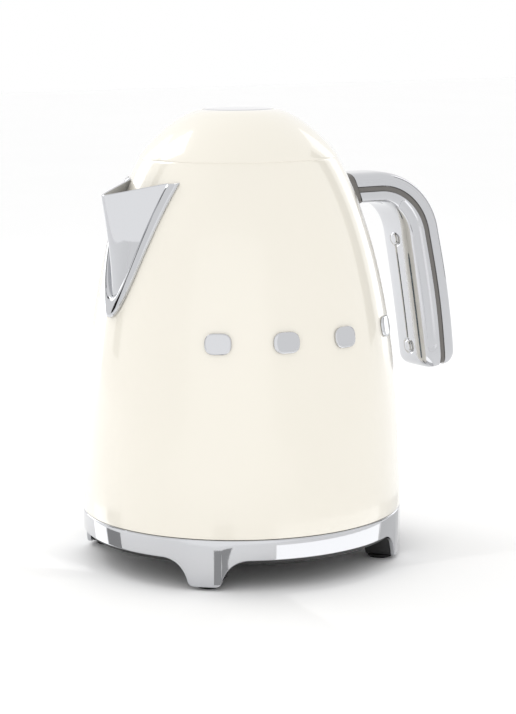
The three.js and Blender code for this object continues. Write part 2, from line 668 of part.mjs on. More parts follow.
function handleCore() {
  const spine = handleForm(SHELL_WALL + GAP, BEVEL - 1.6);
  const side = STRIP_SIDE - GAP;
  const strip = full.intersect(zone([side, side], [-side, -side]));
  const middle = HANDLE_Z + (OUTER_NECK - INNER_NECK) / 2;
  const collar = skin(BODY_CURVE, GAP, SOCKET_SKIN).intersect(pushed(FRONT,
    rounded(0, middle, HALF + COLLAR_PROUD, (OUTER_NECK + INNER_NECK) / 2 + COLLAR_PROUD, BEVEL),
    40, BODY_R + 10));
  return without(joined(spine, strip, collar), inside(BODY_CURVE, GAP), ...handleHoles(), ...capHoles);
}
piece(vessel, "handle_core", handleCore(), GREY);
CAPS.forEach((share, i) => {
  piece(vessel, `handle_cap_${i + 1}`, capPart(share, PLUG_BUTTON_R, 0.2, 4.6), CHROME);
});
[-1, 1].forEach((side, i) => {
  const made = joined(disc(SCREW_HEAD, 0, SCREW_HEAD_H), disc(SCREW_R, 1, 26)).rotate([0, 90, 0]);
  piece(group(vessel, [SCREW_X, side * SCREW_SPREAD, HANDLE_Z]), `handle_screw_${i + 1}`, made, STEEL);
});

// ---- plaques, gauge and switch -------------------------------------------------------------

PLAQUES.forEach((turn, i) => {
  const [wide, tall] = PLAQUE_HALF;
  const blank = pushed(FRONT, rounded(0, FOOT + PLAQUE_UP, wide, tall, 4), 30, BODY_R + 10);
  const made = skin(BODY_CURVE, GAP, PLAQUE_THICK).intersect(blank.rotate([0, 0, 180 + turn]));
  piece(vessel, `plaque_${i + 1}`, made, CHROME);
});

function gaugeWindow() {
  const pane = skin(BODY_CURVE, -GAUGE_IN, 0.8).intersect(gaugeHole(0));
  const lip = skin(BODY_CURVE, -GAUGE_IN, -BODY_WALL - GAP).intersect(gaugeHole(3));
  return joined(pane, lip);
}
piece(vessel, "gauge_window", gaugeWindow(), CLEAR);
piece(vessel, "gauge_gasket", skin(BODY_CURVE, -GASKET_IN, -GAUGE_IN - GAP)
  .intersect(gaugeHole(3)).subtract(gaugeHole(-1)), SILICONE);

const LAMP_R = 2;
const LAMP_Z = SWITCH_Z + SWITCH_TALL / 2 + 4;
function switchBezel() {
  const outline = rounded(0, SWITCH_Z + 3, SWITCH_HALF + 3, SWITCH_TALL / 2 + 6, 5);
  const lampHole = acrossX(LAMP_R + GAP, 0, BODY_R + 10, 0, LAMP_Z);
  return without(
    skin(BODY_CURVE, GAP, 2).intersect(pushed(FRONT, outline, 30, BODY_R + 10)),
    switchHole(-0.4), lampHole,
  );
}
piece(vessel, "switch_bezel", switchBezel(), CHROME);
const LAMP_X = radiusAt(LAMP_Z) + GAP;
piece(vessel, "pilot_lamp", acrossX(LAMP_R, LAMP_X, LAMP_X + 2.1, 0, LAMP_Z), LAMP);

// Steam switch on the vessel's underside, with two cheeks that hold the lever's pin.
const FLOOR_R = radiusAt(FLOOR) - BODY_WALL - SEAL_WALL - 2 * GAP - 0.1;
const PIVOT_X = FLOOR_R - 5;
const PIVOT_Z = SWITCH_Z + 3;
const PIN_R = 1.5;
// The steam tube clears the window's gasket above and the lever's pivot below.
const STEAM_X = Math.min(radiusAt(TUBE_TOP) - GASKET_IN, PIVOT_X - 8) - RUN - TUBE_R;
const STEAM_TOP = SWITCH_Z + 1;
const cheeks = [-1, 1].map((side) => box([PIVOT_X - 8, side > 0 ? 4 : -6.5, SWITCH_Z - 3],
  [PIVOT_X + 3, side > 0 ? 6.5 : -4, SWITCH_Z + 6]));
piece(vessel, "steam_switch", without(
  joined(box([STEAM_X - STEAM_WIDE, -8, SWITCH_Z - 8], [PIVOT_X - 7, 8, STEAM_TOP]), ...cheeks),
  alongY(PIN_R + GAP, -10, 10, PIVOT_X, PIVOT_Z, 12)), BLACK);
piece(vessel, "switch_pin", alongY(PIN_R, -7, 7, PIVOT_X, PIVOT_Z, 12), STEEL);
const tube = ring(TUBE_R - 1.2, TUBE_R, STEAM_TOP + 1, TUBE_TOP, 16);
piece(group(vessel, [STEAM_X, 0, 0]), "steam_tube", tube, SILICONE);

function switchLever() {
  const reach = BODY_R + LEVER_OUT;
  const arm = box([PIVOT_X, -2.4, PIVOT_Z - 1.8], [reach, 2.4, PIVOT_Z + 1.8]);
  const eye = alongY(4, -3.2, 3.2, PIVOT_X, PIVOT_Z);
  const knob = solid(new THREE.SphereGeometry(KNOB_R, 12, 8)).translate([reach, 0, PIVOT_Z]);
  return without(joined(arm, eye, knob), alongY(PIN_R + GAP, -10, 10, PIVOT_X, PIVOT_Z, 12));
}
piece(group(kettle), "switch_lever", switchLever(), CHROME);

// ---- vessel floor, heater and underside ----------------------------------------------------

const tubeHole = disc(TUBE_R + GAP, 0, FLOOR + 10, 16).translate([STEAM_X, 0, 0]);
piece(vessel, "vessel_floor", turned([
  [0, FLOOR - FLOOR_WALL], [FLOOR_R - FLOOR_WALL, FLOOR - FLOOR_WALL], [FLOOR_R - FLOOR_WALL, FLOOR - 7],
  [FLOOR_R, FLOOR - 7], [FLOOR_R, FLOOR], [0, FLOOR],
]).subtract(tubeHole), STEEL);
piece(vessel, "floor_seal", ring(FLOOR_R + GAP, FLOOR_R + GAP + SEAL_WALL, FLOOR - 7, FLOOR - 1), SILICONE);
const ELEMENT_R = STEAM_X - STEAM_WIDE - ELEMENT_CLEAR - ELEMENT_THICK / 2;
const element = new THREE.TorusGeometry(ELEMENT_R, ELEMENT_THICK / 2, 6, ROUND);
const ELEMENT_Z = FLOOR - FLOOR_WALL - GAP - ELEMENT_THICK / 2;
piece(group(vessel, [0, 0, ELEMENT_Z]), "heating_element", solid(element), STEEL);

// Control that hangs under the floor, with the plug that enters the base socket.
function controlUnit() {
  const low = SOCKET_TOP + RUN;
  const top = FLOOR - FLOOR_WALL - GAP;
  const middle = SOCKET_TOP - CENTRE_DOWN + RUN;
  return turned([
    [0, DECK - 2], [1, DECK - 2], [1.2, middle], [SHUTTER_IN, middle], [SHUTTER_IN, SHUTTER_TOP + GAP],
    [SHUTTER_OUT, SHUTTER_TOP + GAP], [SHUTTER_OUT, low], [CONTROL_R, low],
    [CONTROL_R, top - 4], [CONTROL_R - 4, top], [0, top],
  ], 24);
}
piece(vessel, "control_unit", controlUnit(), BLACK);

const COVER_LOW = DECK + GAP;
const COVER_SCREW_AT = BODY_R - COVER_SCREW_IN;
const COVER_SCREWS = [60, 180, 300];
function bottomCover() {
  const well = SOCKET_R + RUN;
  const skirt = BODY_R - BODY_WALL - GAP - 0.1;
  const made = turned([
    [well, COVER_LOW], [COVER_R, COVER_LOW], [COVER_R, FOOT + GAP], [skirt, FOOT + GAP],
    [skirt, FOOT + 5], [skirt - 2, FOOT + 5], [skirt - 2, COVER_LOW + 2], [well + 1.6, COVER_LOW + 2],
    [well + 1.6, SOCKET_TOP], [well, SOCKET_TOP],
  ]);
  const boss = disc(4, COVER_LOW + 1, COVER_LOW + 8, 16).translate([COVER_SCREW_AT, 0, 0]);
  const flare = SCREW_HEAD + GAP;
  const hole = joined(
    screwHole(0, COVER_LOW + 20),
    turned([[0, COVER_LOW - 1], [flare, COVER_LOW - 1], [flare, COVER_LOW + GAP],
      [SCREW_R + GAP, COVER_LOW + flare - SCREW_R], [0, COVER_LOW + flare - SCREW_R]], 12),
  ).translate([COVER_SCREW_AT, 0, 0]);
  return without(joined(made, about(boss, COVER_SCREWS)), about(hole, COVER_SCREWS));
}
piece(vessel, "bottom_cover", bottomCover(), BLACK);
COVER_SCREWS.forEach((turn, i) => {
  const spoke = group(vessel, [0, 0, COVER_LOW + 0.1], turn);
  piece(group(spoke, [COVER_SCREW_AT, 0, 0]), `bottom_screw_${i + 1}`, screw(8), STEEL);
});

// ---- lid, in a frame of its own on the mouth's plane ----------------------------------------

const lid = group(kettle, [0, 0, MOUTH]);
const notchTop = HINGE_R + SEAM / 2 + GAP;
piece(lid, "lid_shell", skin(LID_CURVE, -LID_WALL, 0).subtract(
  box([30, -HINGE_HALF - 0.6, -1], [BODY_R, HINGE_HALF + 0.6, notchTop])), CREAM);

const GUIDE_R = 7;
const STEM_R = GUIDE_R - 0.5;
function lidInnerCover() {
  const wall = 2;
  const seat = SEAM + GAP;
  const [edge, edgeTop] = [seat, seat + wall].map((z) => radiusAt(z, -LID_WALL - GAP, LID_CURVE));
  const cup = turned([
    [0, -PLUG_H], [PLUG_R, -PLUG_H], [PLUG_R, seat], [edge, seat], [edgeTop, seat + wall],
    [PLUG_R - wall, seat + wall], [PLUG_R - wall, wall - PLUG_H], [GUIDE_R + wall, wall - PLUG_H],
    [GUIDE_R + wall, 7], [GUIDE_R, 7], [GUIDE_R, wall - PLUG_H], [0, wall - PLUG_H],
  ]);
  const arm = box([PLUG_R, -HINGE_ARM, seat], [HINGE_X, HINGE_ARM, seat + wall]);
  const eye = alongY(HINGE_R, -HINGE_ARM, HINGE_ARM, HINGE_X, SEAM / 2);
  const slot = box([-PLUG_R - 1, -4 - GAP, -6 - GAP], [-PLUG_R + 6, 4 + GAP, -3 + GAP]);
  return without(joined(cup, arm, eye), alongY(HINGE_PIN_R + GAP, -20, 20, HINGE_X, SEAM / 2), slot);
}
piece(lid, "lid_inner_cover", lidInnerCover(), GREY);
const SEAL_Z = -PLUG_H - GAP;
piece(lid, "lid_seal", turned([
  [PLUG_R - 8, SEAL_Z - 1.4], [PLUG_R - 1, SEAL_Z - 1.4], [PLUG_R - 0.4, SEAL_Z], [PLUG_R - 8, SEAL_Z],
]), SILICONE);

// Push button in the crown: a chrome disc on a stem that slides in the inner cover's guide.
const button = group(lid);
const BUTTON_TOP = LID_H + 0.3;
const STEM_LOW = 2;
piece(button, "lid_button", turned([
  [0, STEM_LOW], [STEM_R, STEM_LOW], [STEM_R, BUTTON_TOP - 3], [BUTTON_R - 0.9, BUTTON_TOP - 3],
  [BUTTON_R - 0.7, BUTTON_TOP - 0.4], [BUTTON_R - 1.2, BUTTON_TOP], [0, BUTTON_TOP],
]), CHROME);

class Coil extends THREE.Curve {
  getPoint(t, target = new THREE.Vector3()) {
    const turns = 4;
    const a = t * turns * 2 * Math.PI;
    const low = 2.8 - PLUG_H;
    return target.set(4.4 * Math.cos(a), 4.4 * Math.sin(a), low + t * (STEM_LOW - 0.8 - low));
  }
}
const wire = new THREE.Shape().absarc(0, 0, 0.45, 0, 2 * Math.PI);
piece(lid, "button_spring", solid(new THREE.ExtrudeGeometry(wire, {
  steps: 36, curveSegments: 3, extrudePath: new Coil(),
})), STEEL);

const bolt = joined(
  box([-PLUG_R - 0.4, -4, -6], [-PLUG_R + 20, 4, -3]),
  pushed(SIDE, [[-PLUG_R + 12, -3.5], [-PLUG_R + 20, -3.5], [-PLUG_R + 20, 3]], -4, 4),
);
piece(group(lid), "lid_latch", bolt, GREY);

export default kettle;
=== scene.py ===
import json
import math

import bmesh
import bpy
import numpy as np
from mathutils import Matrix, Vector


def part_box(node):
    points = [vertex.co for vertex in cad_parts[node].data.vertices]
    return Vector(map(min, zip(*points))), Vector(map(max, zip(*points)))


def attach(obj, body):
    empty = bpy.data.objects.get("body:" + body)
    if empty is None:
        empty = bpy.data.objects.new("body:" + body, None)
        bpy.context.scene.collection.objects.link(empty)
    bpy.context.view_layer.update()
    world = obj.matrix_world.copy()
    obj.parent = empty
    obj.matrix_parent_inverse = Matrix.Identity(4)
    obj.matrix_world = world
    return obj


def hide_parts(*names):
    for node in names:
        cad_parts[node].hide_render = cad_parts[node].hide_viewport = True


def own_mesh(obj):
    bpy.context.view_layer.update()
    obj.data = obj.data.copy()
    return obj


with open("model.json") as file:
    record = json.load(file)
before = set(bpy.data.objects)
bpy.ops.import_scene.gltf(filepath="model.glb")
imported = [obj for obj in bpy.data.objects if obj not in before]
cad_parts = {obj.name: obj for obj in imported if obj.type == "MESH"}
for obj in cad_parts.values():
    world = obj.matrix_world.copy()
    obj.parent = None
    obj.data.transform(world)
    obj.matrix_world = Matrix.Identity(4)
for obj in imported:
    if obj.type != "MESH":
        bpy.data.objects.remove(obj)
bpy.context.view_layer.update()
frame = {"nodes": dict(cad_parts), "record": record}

mm = 0.001

# ---- Studio ---------------------------------------------------------------------------------
# A white worktop, lit by two tall softboxes and one overhead. White, grey and black cards, which only
# mirrors see, give the chrome its light and dark bands. None of it is part of the kettle.
azimuth, pitch, yaw, roll = (math.radians(a) for a in (-32.0, 9.5376, 0.4985, -0.4721))
distance, height, lens_mm = 1.1134, 0.2947, 104.25

forward = np.array([math.sin(yaw) * math.cos(pitch), math.cos(yaw) * math.cos(pitch), -math.sin(pitch)])
right = np.array([math.cos(yaw), -math.sin(yaw), 0.0])
up = np.cross(right, forward)
right, up = (right * math.cos(roll) + up * math.sin(roll), up * math.cos(roll) - right * math.sin(roll))
turn = np.array(Matrix.Rotation(azimuth, 3, "Z"))
axes = (turn @ np.array([right, up, -forward]).T)
camera = bpy.data.objects.new("camera", bpy.data.cameras.new("camera"))
camera.data.lens = lens_mm
camera.data.sensor_width = 36.0
camera.data.clip_end = 50.0
eye = turn @ np.array([0.0, -distance, height])
camera.matrix_world = Matrix.Translation(Vector(eye)) @ Matrix(axes.tolist()).to_4x4()
bpy.context.collection.objects.link(camera)
bpy.context.scene.camera = camera
bpy.context.scene.view_settings.view_transform = "Standard"


def linear(code):
    """An sRGB hex colour as linear red, green, blue and an alpha of 1."""
    srgb = [int(code[i:i + 2], 16) / 255 for i in (1, 3, 5)]
    return [c / 12.92 if c <= 0.04045 else ((c + 0.055) / 1.055) ** 2.4 for c in srgb] + [1.0]


def add_node(tree, kind, settings=None, links=None, **values):
    """Adds a node, sets its properties and input values, and links inputs to other nodes' outputs."""
    made = tree.nodes.new(kind)
    for key, value in (settings or {}).items():
        setattr(made, key, value)
    for key, value in values.items():
        made.inputs[key.replace("_", " ")].default_value = value
    for key, (source, output) in (links or {}).items():
        tree.links.new(source.outputs[output], made.inputs[key])
    return made


world = bpy.data.worlds.new("white_room")
world.use_nodes = True
bpy.context.scene.world = world
world.node_tree.nodes["Background"].inputs["Color"].default_value = linear("#ffffff")
world.node_tree.nodes["Background"].inputs["Strength"].default_value = 1.0


def light(name, place, size, power, target=(0, 0, 0.12)):
    """A rectangular softbox at place, facing target; size is (width, height) in metres."""
    lamp = bpy.data.lights.new(name, "AREA")
    lamp.shape = "RECTANGLE"
    lamp.size, lamp.size_y = size
    lamp.energy = power
    held = bpy.data.objects.new(name, lamp)
    held.location = place
    held.rotation_euler = (Vector(target) - Vector(place)).to_track_quat("-Z", "Y").to_euler()
    bpy.context.collection.objects.link(held)
    return held


def around(degrees_right, away, z):
    """A place at an angle to the right of the camera's direction, seen from the kettle."""
    a = azimuth + math.radians(degrees_right)
    return (away * math.sin(a), -away * math.cos(a), z)


light("overhead_softbox", around(-118, 0.8, 0.95), (0.4, 0.4), 1.6)
light("left_softbox", around(-133, 1.2, 0.42), (0.42, 1.1), 2.4)
light("right_softbox", around(140, 1.2, 0.42), (0.3, 1.1), 0.9)


def card(name, corners, strength):
    """A flat card through a row of corners, seen only in reflections, that glows with a strength."""
    mesh = bpy.data.meshes.new(name)
    mesh.from_pydata([tuple(corner) for corner in corners], [], [tuple(range(len(corners)))])
    made = bpy.data.objects.new(name, mesh)
    paper = bpy.data.materials.new(name)
    paper.use_nodes = True
    tree = paper.node_tree
    tree.nodes.clear()
    glow = add_node(tree, "ShaderNodeEmission", Color=(1, 1, 1, 1), Strength=strength)
    add_node(tree, "ShaderNodeOutputMaterial", links={"Surface": (glow, "Emission")})
    mesh.materials.append(paper)
    bpy.context.collection.objects.link(made)
    made.visible_camera = made.visible_diffuse = made.visible_shadow = False


def upright(name, degrees_right, away, wide, low, high, strength):
    """A card that stands upright and faces the kettle."""
    middle, side = np.array(around(degrees_right, away, 0)), np.array(around(degrees_right + 90, wide / 2, 0))
    corners = ((-1, low), (1, low), (1, high), (-1, high))
    card(name, [middle + s * side + (0, 0, z) for s, z in corners], strength)


ring_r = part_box("base_ring")[1][1]
card_z = 0.5 * mm  # of the cards that lie on the worktop


def floor_card(name, start, end, strength):
    """A card flat on the worktop, mirrored by the ring where its normal lies between two angles to
    the right of the camera: the mirrored ray leaves the ring at twice that angle."""
    angles = np.linspace(start, end, 9)
    near, far = ([np.array(around(a, ring_r, card_z)) + around(2 * a, length, 0) for a in angles]
                 for length in (0.006, 0.15))
    card(name, near + far[::-1], strength)


floor_card("grey_floor_card_front", -9.8, -2.6, 0.4)
floor_card("grey_floor_card_left", -56, -48, 0.35)
floor_card("white_floor_card_left", -66, -56.5, 1.8)
floor_card("white_floor_card_right", 12, 58, 1.6)
floor_card("grey_floor_card_right", 59, 78, 0.75)
upright("white_reflector_front", -8, 1.3, 1.5, 0.001, 0.9, 1.22)
card("white_floor_card_front", [around(a, away, card_z) for a, away in
                                ((-55, 0.45), (-38, 1.5), (22, 1.5), (40, 0.45))], 1.22)
upright("black_card_left", -103, 0.9, 0.13, 0.1, 0.9, 0.02)
upright("grey_card_right", 118, 0.9, 0.2, 0.1, 0.9, 0.15)

floor_mesh = bpy.data.meshes.new("worktop")
reach = 6.0
floor_mesh.from_pydata([(-reach, -reach, 0), (reach, -reach, 0), (reach, reach, 0), (-reach, reach, 0)],
                       [], [(0, 1, 2, 3)])
worktop = bpy.data.objects.new("worktop", floor_mesh)
bpy.context.collection.objects.link(worktop)


def material(name, colour, roughness, metallic=0.0, **more):
    """A Principled material with a linear colour, and the tree to add its pattern to."""
    made = bpy.data.materials.new(name)
    made.use_nodes = True
    shader = made.node_tree.nodes["Principled BSDF"]
    shader.inputs["Base Color"].default_value = linear(colour)
    shader.inputs["Roughness"].default_value = roughness
    shader.inputs["Metallic"].default_value = metallic
    for key, value in more.items():
        shader.inputs[key.replace("_", " ")].default_value = value
    return made, made.node_tree, shader


def finish(name, colour, roughness, metallic=0.0, bump=None, dull=None, tint=None,
           normals=("Normal",), **more):
    """A material whose patterns lie over the object's own coordinates, in metres: bump is (pattern,
    strength, depth), dull is (pattern, least and most roughness), tint is (pattern, two colours). A
    pattern is (texture, scale), with a detail and a stretch where it needs them."""
    made, tree, shader = material(name, colour, roughness, metallic, **more)
    place = add_node(tree, "ShaderNodeTexCoord")

    def pattern(texture, scale, detail=None, stretch=None):
        source = (place, "Object")
        if stretch:
            source = (add_node(tree, "ShaderNodeMapping", links={"Vector": source}, Scale=stretch), "Vector")
        more = {"Detail": detail} if detail else {}
        drawn = add_node(tree, f"ShaderNodeTex{texture}", links={"Vector": source}, Scale=scale, **more)
        return drawn, "Distance" if texture == "Voronoi" else "Fac"

    if tint:
        where, first, second = tint
        mixed = add_node(tree, "ShaderNodeMix", {"data_type": "RGBA"}, {"Factor": pattern(*where)})
        mixed.inputs["A"].default_value, mixed.inputs["B"].default_value = linear(first), linear(second)
        tree.links.new(mixed.outputs["Result"], shader.inputs["Base Color"])
    if dull:
        where, least, most = dull
        spread = add_node(tree, "ShaderNodeMapRange", links={"Value": pattern(*where)},
                          To_Min=least, To_Max=most)
        tree.links.new(spread.outputs["Result"], shader.inputs["Roughness"])
    if bump:
        where, strength, depth = bump
        raised = add_node(tree, "ShaderNodeBump", links={"Height": pattern(*where)},
                          Strength=strength, Distance=depth)
        for side in normals:
            tree.links.new(raised.outputs["Normal"], shader.inputs[side])
    return made


# White laminate: plain, matt, with nothing in it but a faint mottle.
floor_mesh.materials.append(finish("white_laminate", "#ffffff", 0.6, Specular_IOR_Level=0.2,
                                   tint=(("Noise", 3.0, 2.0), "#fdfdfd", "#ffffff")))

# ---- Power base: ring, legs and deck --------------------------------------------------------
# The ring is a zinc casting with its four legs in one piece, polished and chrome plated. A black
# ABS moulding drops in from below: the deck, its wall and a block behind each leg.
low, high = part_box("base_ring")
leg_low, ring_top = low[2], high[2]
ring_low = leg_low + 14.2 * mm
ring_wall = 2.2 * mm
leg_foot, leg_flare = 8.6 * mm, 22.5 * mm
leg_turns = np.radians([45, 135, 225, 315])
tau = 2 * np.pi
gap = 0.3 * mm  # between pieces that fit together
centre = 0.02 * mm  # radius at which a turned profile ends on its axis


def closed(values):
    """The same row with its first entry again at the end."""
    return np.concatenate([values, values[:1]])


def filleted(corners, radii, steps=5):
    """A closed outline through corners, each rounded: a parabola between the two points that lie
    the corner's radius along its edges, with the corner as its middle control point."""
    corners = np.asarray(corners, float)
    radii = np.broadcast_to(np.asarray(radii, float), len(corners))
    ahead, behind = np.roll(corners, -1, 0) - corners, np.roll(corners, 1, 0) - corners
    length = [np.linalg.norm(v, axis=1, keepdims=True) for v in (ahead, behind)]
    cut = [np.minimum(radii[:, None], n * 0.49) for n in length]
    start, end = corners + behind / length[1] * cut[1], corners + ahead / length[0] * cut[0]
    t = np.linspace(0, 1, steps)[None, :, None]
    arcs = (1 - t) ** 2 * start[:, None] + 2 * t * (1 - t) * corners[:, None] + t ** 2 * end[:, None]
    return arcs.reshape(-1, 2)


def add_object(name, mesh, look, smooth=38):
    """Links a mesh as a piece, merges its doubles, turns its faces out and shades it smooth up to
    an angle in degrees."""
    work = bmesh.new()
    work.from_mesh(mesh)
    bmesh.ops.remove_doubles(work, verts=work.verts, dist=2e-6)
    bmesh.ops.recalc_face_normals(work, faces=work.faces)
    for face in work.faces:
        face.smooth = True
    limit = math.radians(smooth)
    for edge in work.edges:
        if len(edge.link_faces) == 2 and edge.calc_face_angle(0) > limit:
            edge.smooth = False
    work.to_mesh(mesh)
    work.free()
    made = bpy.data.objects.new(name, mesh)
    bpy.context.collection.objects.link(made)
    mesh.materials.clear()
    mesh.materials.append(look)
    return made


def surface(name, grids, look, smooth=38):
    """Quads between neighbours of one or more grids of points shaped (rows, columns, 3)."""
    grids = grids if isinstance(grids, list) else [grids]
    quads, start = [], 0
    for points in grids:
        rows, columns = points.shape[:2]
        index = start + np.arange(rows * columns).reshape(rows, columns)
        corners = [index[:-1, :-1], index[:-1, 1:], index[1:, 1:], index[1:, :-1]]
        quads.append(np.stack(corners, -1).reshape(-1, 4))
        start += rows * columns
    mesh = bpy.data.meshes.new(name)
    mesh.from_pydata(np.concatenate([g.reshape(-1, 3) for g in grids]), [], np.concatenate(quads))
    return add_object(name, mesh, look, smooth)


def lathe_grid(outline, sides=192, middle=(0.0, 0.0)):
    """The grid of an outline of (radius, height) carried once round a vertical axis."""
    outline = np.asarray(outline, float)
    a = np.linspace(0, tau, sides + 1)[:, None]
    r, z = outline[None, :, 0], outline[None, :, 1]
    return np.stack(np.broadcast_arrays(middle[0] + r * np.cos(a), middle[1] + r * np.sin(a), z), -1)


def revolved(name, outline, look, sides=192, middle=(0, 0), smooth=38):
    return surface(name, lathe_grid(outline, sides, middle), look, smooth)


def lathe_ring(name, corners, radii, look, **more):
    return revolved(name, closed(filleted(corners, radii)), look, **more)


# Bright chrome on polished zinc: a mirror with a faint blue-grey tint, and a polish so even that
# only a slow waviness and a few hairlines break the reflections.
chrome = finish("bright_chrome_on_zinc", "#c9cacd", 0.045, 1.0, bump=(("Noise", 60.0, 1.0), 0.02, 0.4 * mm),
                dull=(("Noise", 900.0, 3.0), 0.03, 0.075))


# ABS from a spark-eroded mould: a fine even grain about half a millimetre across dulls the shine.
def moulded(name, colour, roughness, grain, depth):
    return finish(name, colour, roughness, IOR=1.53, bump=(("Voronoi", 1 / grain), depth, 0.2 * mm),
                  dull=(("Noise", 70.0, 4.0), roughness - 0.06, roughness + 0.08))


black_abs = moulded("black_moulded_abs", "#1b1b1c", 0.48, 0.4 * mm, 0.12)


def piece(made, body, nodes=()):
    """Fixes a piece to its body and hides the frame nodes that it stands for."""
    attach(made, body)
    if nodes:
        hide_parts(*nodes)
    return made


def leg_outline(inset=0.0, steps=16):
    """Lower edge of the ring from one leg's middle to the next: distance along the ring and height.
    Round corner at the table, a hollow flare up the leg, then the level edge."""
    t = np.linspace(0, 1, steps)
    foot, flare, floor_z = leg_foot - inset, leg_flare - inset, leg_low + inset / 2
    quarter = ring_r * tau / 8
    corner = 3 * mm

    def bend(a, b, c):
        return np.stack([(1 - t) ** 2 * p + 2 * t * (1 - t) * q + t ** 2 * r for p, q, r in zip(a, b, c)], 1)

    toe = bend((foot - corner, floor_z), (foot, floor_z), (foot + 0.6 * mm, floor_z + corner))
    hollow = bend((foot + 0.6 * mm, floor_z + corner), (foot + 4 * mm, ring_low - 1 * mm), (flare, ring_low))
    flat = np.stack([np.linspace(0, foot - corner, 8)[:-1], np.full(7, floor_z)], 1)
    level = np.stack([np.linspace(flare, quarter, 14)[1:], np.full(13, ring_low)], 1)
    half = np.concatenate([flat, toe[:-1], hollow, level])
    back = np.stack([2 * quarter - half[::-1][1:-1, 0], half[::-1][1:-1, 1]], 1)
    return np.concatenate([half, back])


def legged_ring(name, outer, inner, top, look, inset=0.0, edge=0.8 * mm):
    """The wall between two radii whose lower edge follows the legs: each point of the edge is joined
    straight up to the top by a section with rounded corners."""
    edge_line = leg_outline(inset)
    along = np.concatenate([edge_line[:, 0] / ring_r + turn for turn in leg_turns])
    height = np.tile(edge_line[:, 1], 4)
    r, share = [], []
    for step in np.linspace(0, np.pi / 2, 5):  # lower outer corner
        r.append(outer - edge * (1 - math.sin(step)))
        share.append(edge * (1 - math.cos(step)))
    for step in np.linspace(0, np.pi / 2, 5):  # upper outer corner
        r.append(outer - edge * (1 - math.cos(step)))
        share.append(-edge * (1 - math.sin(step)))
    r += [inner, inner]
    share += [-0.0, 0.0]
    r, share = np.array(r), np.array(share)
    from_top = np.array([False] * 5 + [True] * 6 + [False])
    z = np.where(from_top[None, :], top + share[None, :], height[:, None] + share[None, :])
    a = np.broadcast_to(along[:, None], z.shape)
    points = np.stack([r[None, :] * np.cos(a), r[None, :] * np.sin(a), z], -1)
    points = np.concatenate([points, points[:1]])
    points = np.concatenate([points, points[:, :1]], 1)
    return surface(name, points, look)


ring = legged_ring("base_ring_chromed", ring_r, ring_r - ring_wall, ring_top, chrome)
piece(ring, "base", ["base_ring"])


def prism(outline, stations, place, caps=1):
    """The grid of a block: a closed outline of (a, b) carried through stations of (depth, inset),
    moved inwards along its own normals by the inset, and closed on its middle at both ends, in
    as many steps as the caps need to follow a curved place."""
    outline = np.asarray(outline, float)
    along = np.roll(outline, -1, 0) - np.roll(outline, 1, 0)
    inward = np.stack([-along[:, 1], along[:, 0]], 1)
    inward /= np.maximum(np.linalg.norm(inward, axis=1, keepdims=True), 1e-12)
    area = np.sum(outline[:, 0] * np.roll(outline[:, 1], -1) - np.roll(outline[:, 0], -1) * outline[:, 1])
    inward *= np.sign(area)
    stations = np.asarray(stations, float)
    rings = outline + inward * stations[:, 1][:, None, None]
    shrink = np.linspace(0, 1, caps + 1)[:0:-1, None, None]
    first = rings[:1] + (outline.mean(0) - rings[:1]) * shrink
    last = (rings[-1:] + (outline.mean(0) - rings[-1:]) * shrink)[::-1]
    rings = np.concatenate([first, rings, last])
    rings = np.concatenate([rings, rings[:, :1]], 1)
    ends = [np.repeat(stations[end, 0], caps) for end in (0, -1)]
    depth = np.concatenate([ends[0], stations[:, 0], ends[1]])
    return place(rings[..., 0], rings[..., 1], np.broadcast_to(depth[:, None], rings.shape[:2]))


def edges(start, end, radius, steps=4):
    """Stations from one depth to the other with both edges rounded by a quarter circle."""
    t = np.linspace(0, np.pi / 2, steps)
    first = np.stack([start + radius * (1 - np.cos(t)), radius * (1 - np.sin(t))], 1)
    last = np.stack([end - radius * (1 - np.cos(t)), radius * (1 - np.sin(t))], 1)[::-1]
    return np.concatenate([first, last])


def rounded_box(a, b, half_a, half_b, corner, steps=6):
    """A rectangle with round corners, centred on (a, b), as a closed outline."""
    corners = [(a - half_a, b - half_b), (a + half_a, b - half_b), (a + half_a, b + half_b),
               (a - half_a, b + half_b)]
    return filleted(corners, corner * 1.3, steps)


def facing_x(turn=0.0):
    """Places (a, b, depth) as y, z and x, turned about the vertical axis."""
    c, s = math.cos(turn), math.sin(turn)
    return lambda a, b, d: np.stack([d * c - a * s, d * s + a * c, b], -1)


def facing_y(a, b, d):
    return np.stack([a, d, b], -1)


tray_r = ring_r - ring_wall - gap
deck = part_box("base_tray")[1][2]
block_r = tray_r - 14 * mm
socket_r = 19 * mm
skirt_top = deck - 1.2 * mm


def foot_block(turn):
    """The leg's own outline, a little smaller, carried inwards from the ring to the block's back;
    its outer face follows the round of the wall."""
    half = leg_outline(0.8 * mm)[:45]
    half = half[half[:, 0] < leg_flare]
    outline = np.concatenate([half, [(leg_flare - 0.8 * mm, skirt_top)],
                              [(0.8 * mm - leg_flare, skirt_top)], (half * [-1, 1])[::-1][:-1]])

    def place(a, b, d):
        r = d + (np.sqrt(np.maximum(tray_r ** 2 - a ** 2, 0)) - tray_r)
        c, s = math.cos(turn), math.sin(turn)
        return np.stack([r * c - a * s, r * s + a * c, b], -1)
    return prism(outline, edges(block_r, tray_r - 0.1 * mm, 0.5 * mm), place)


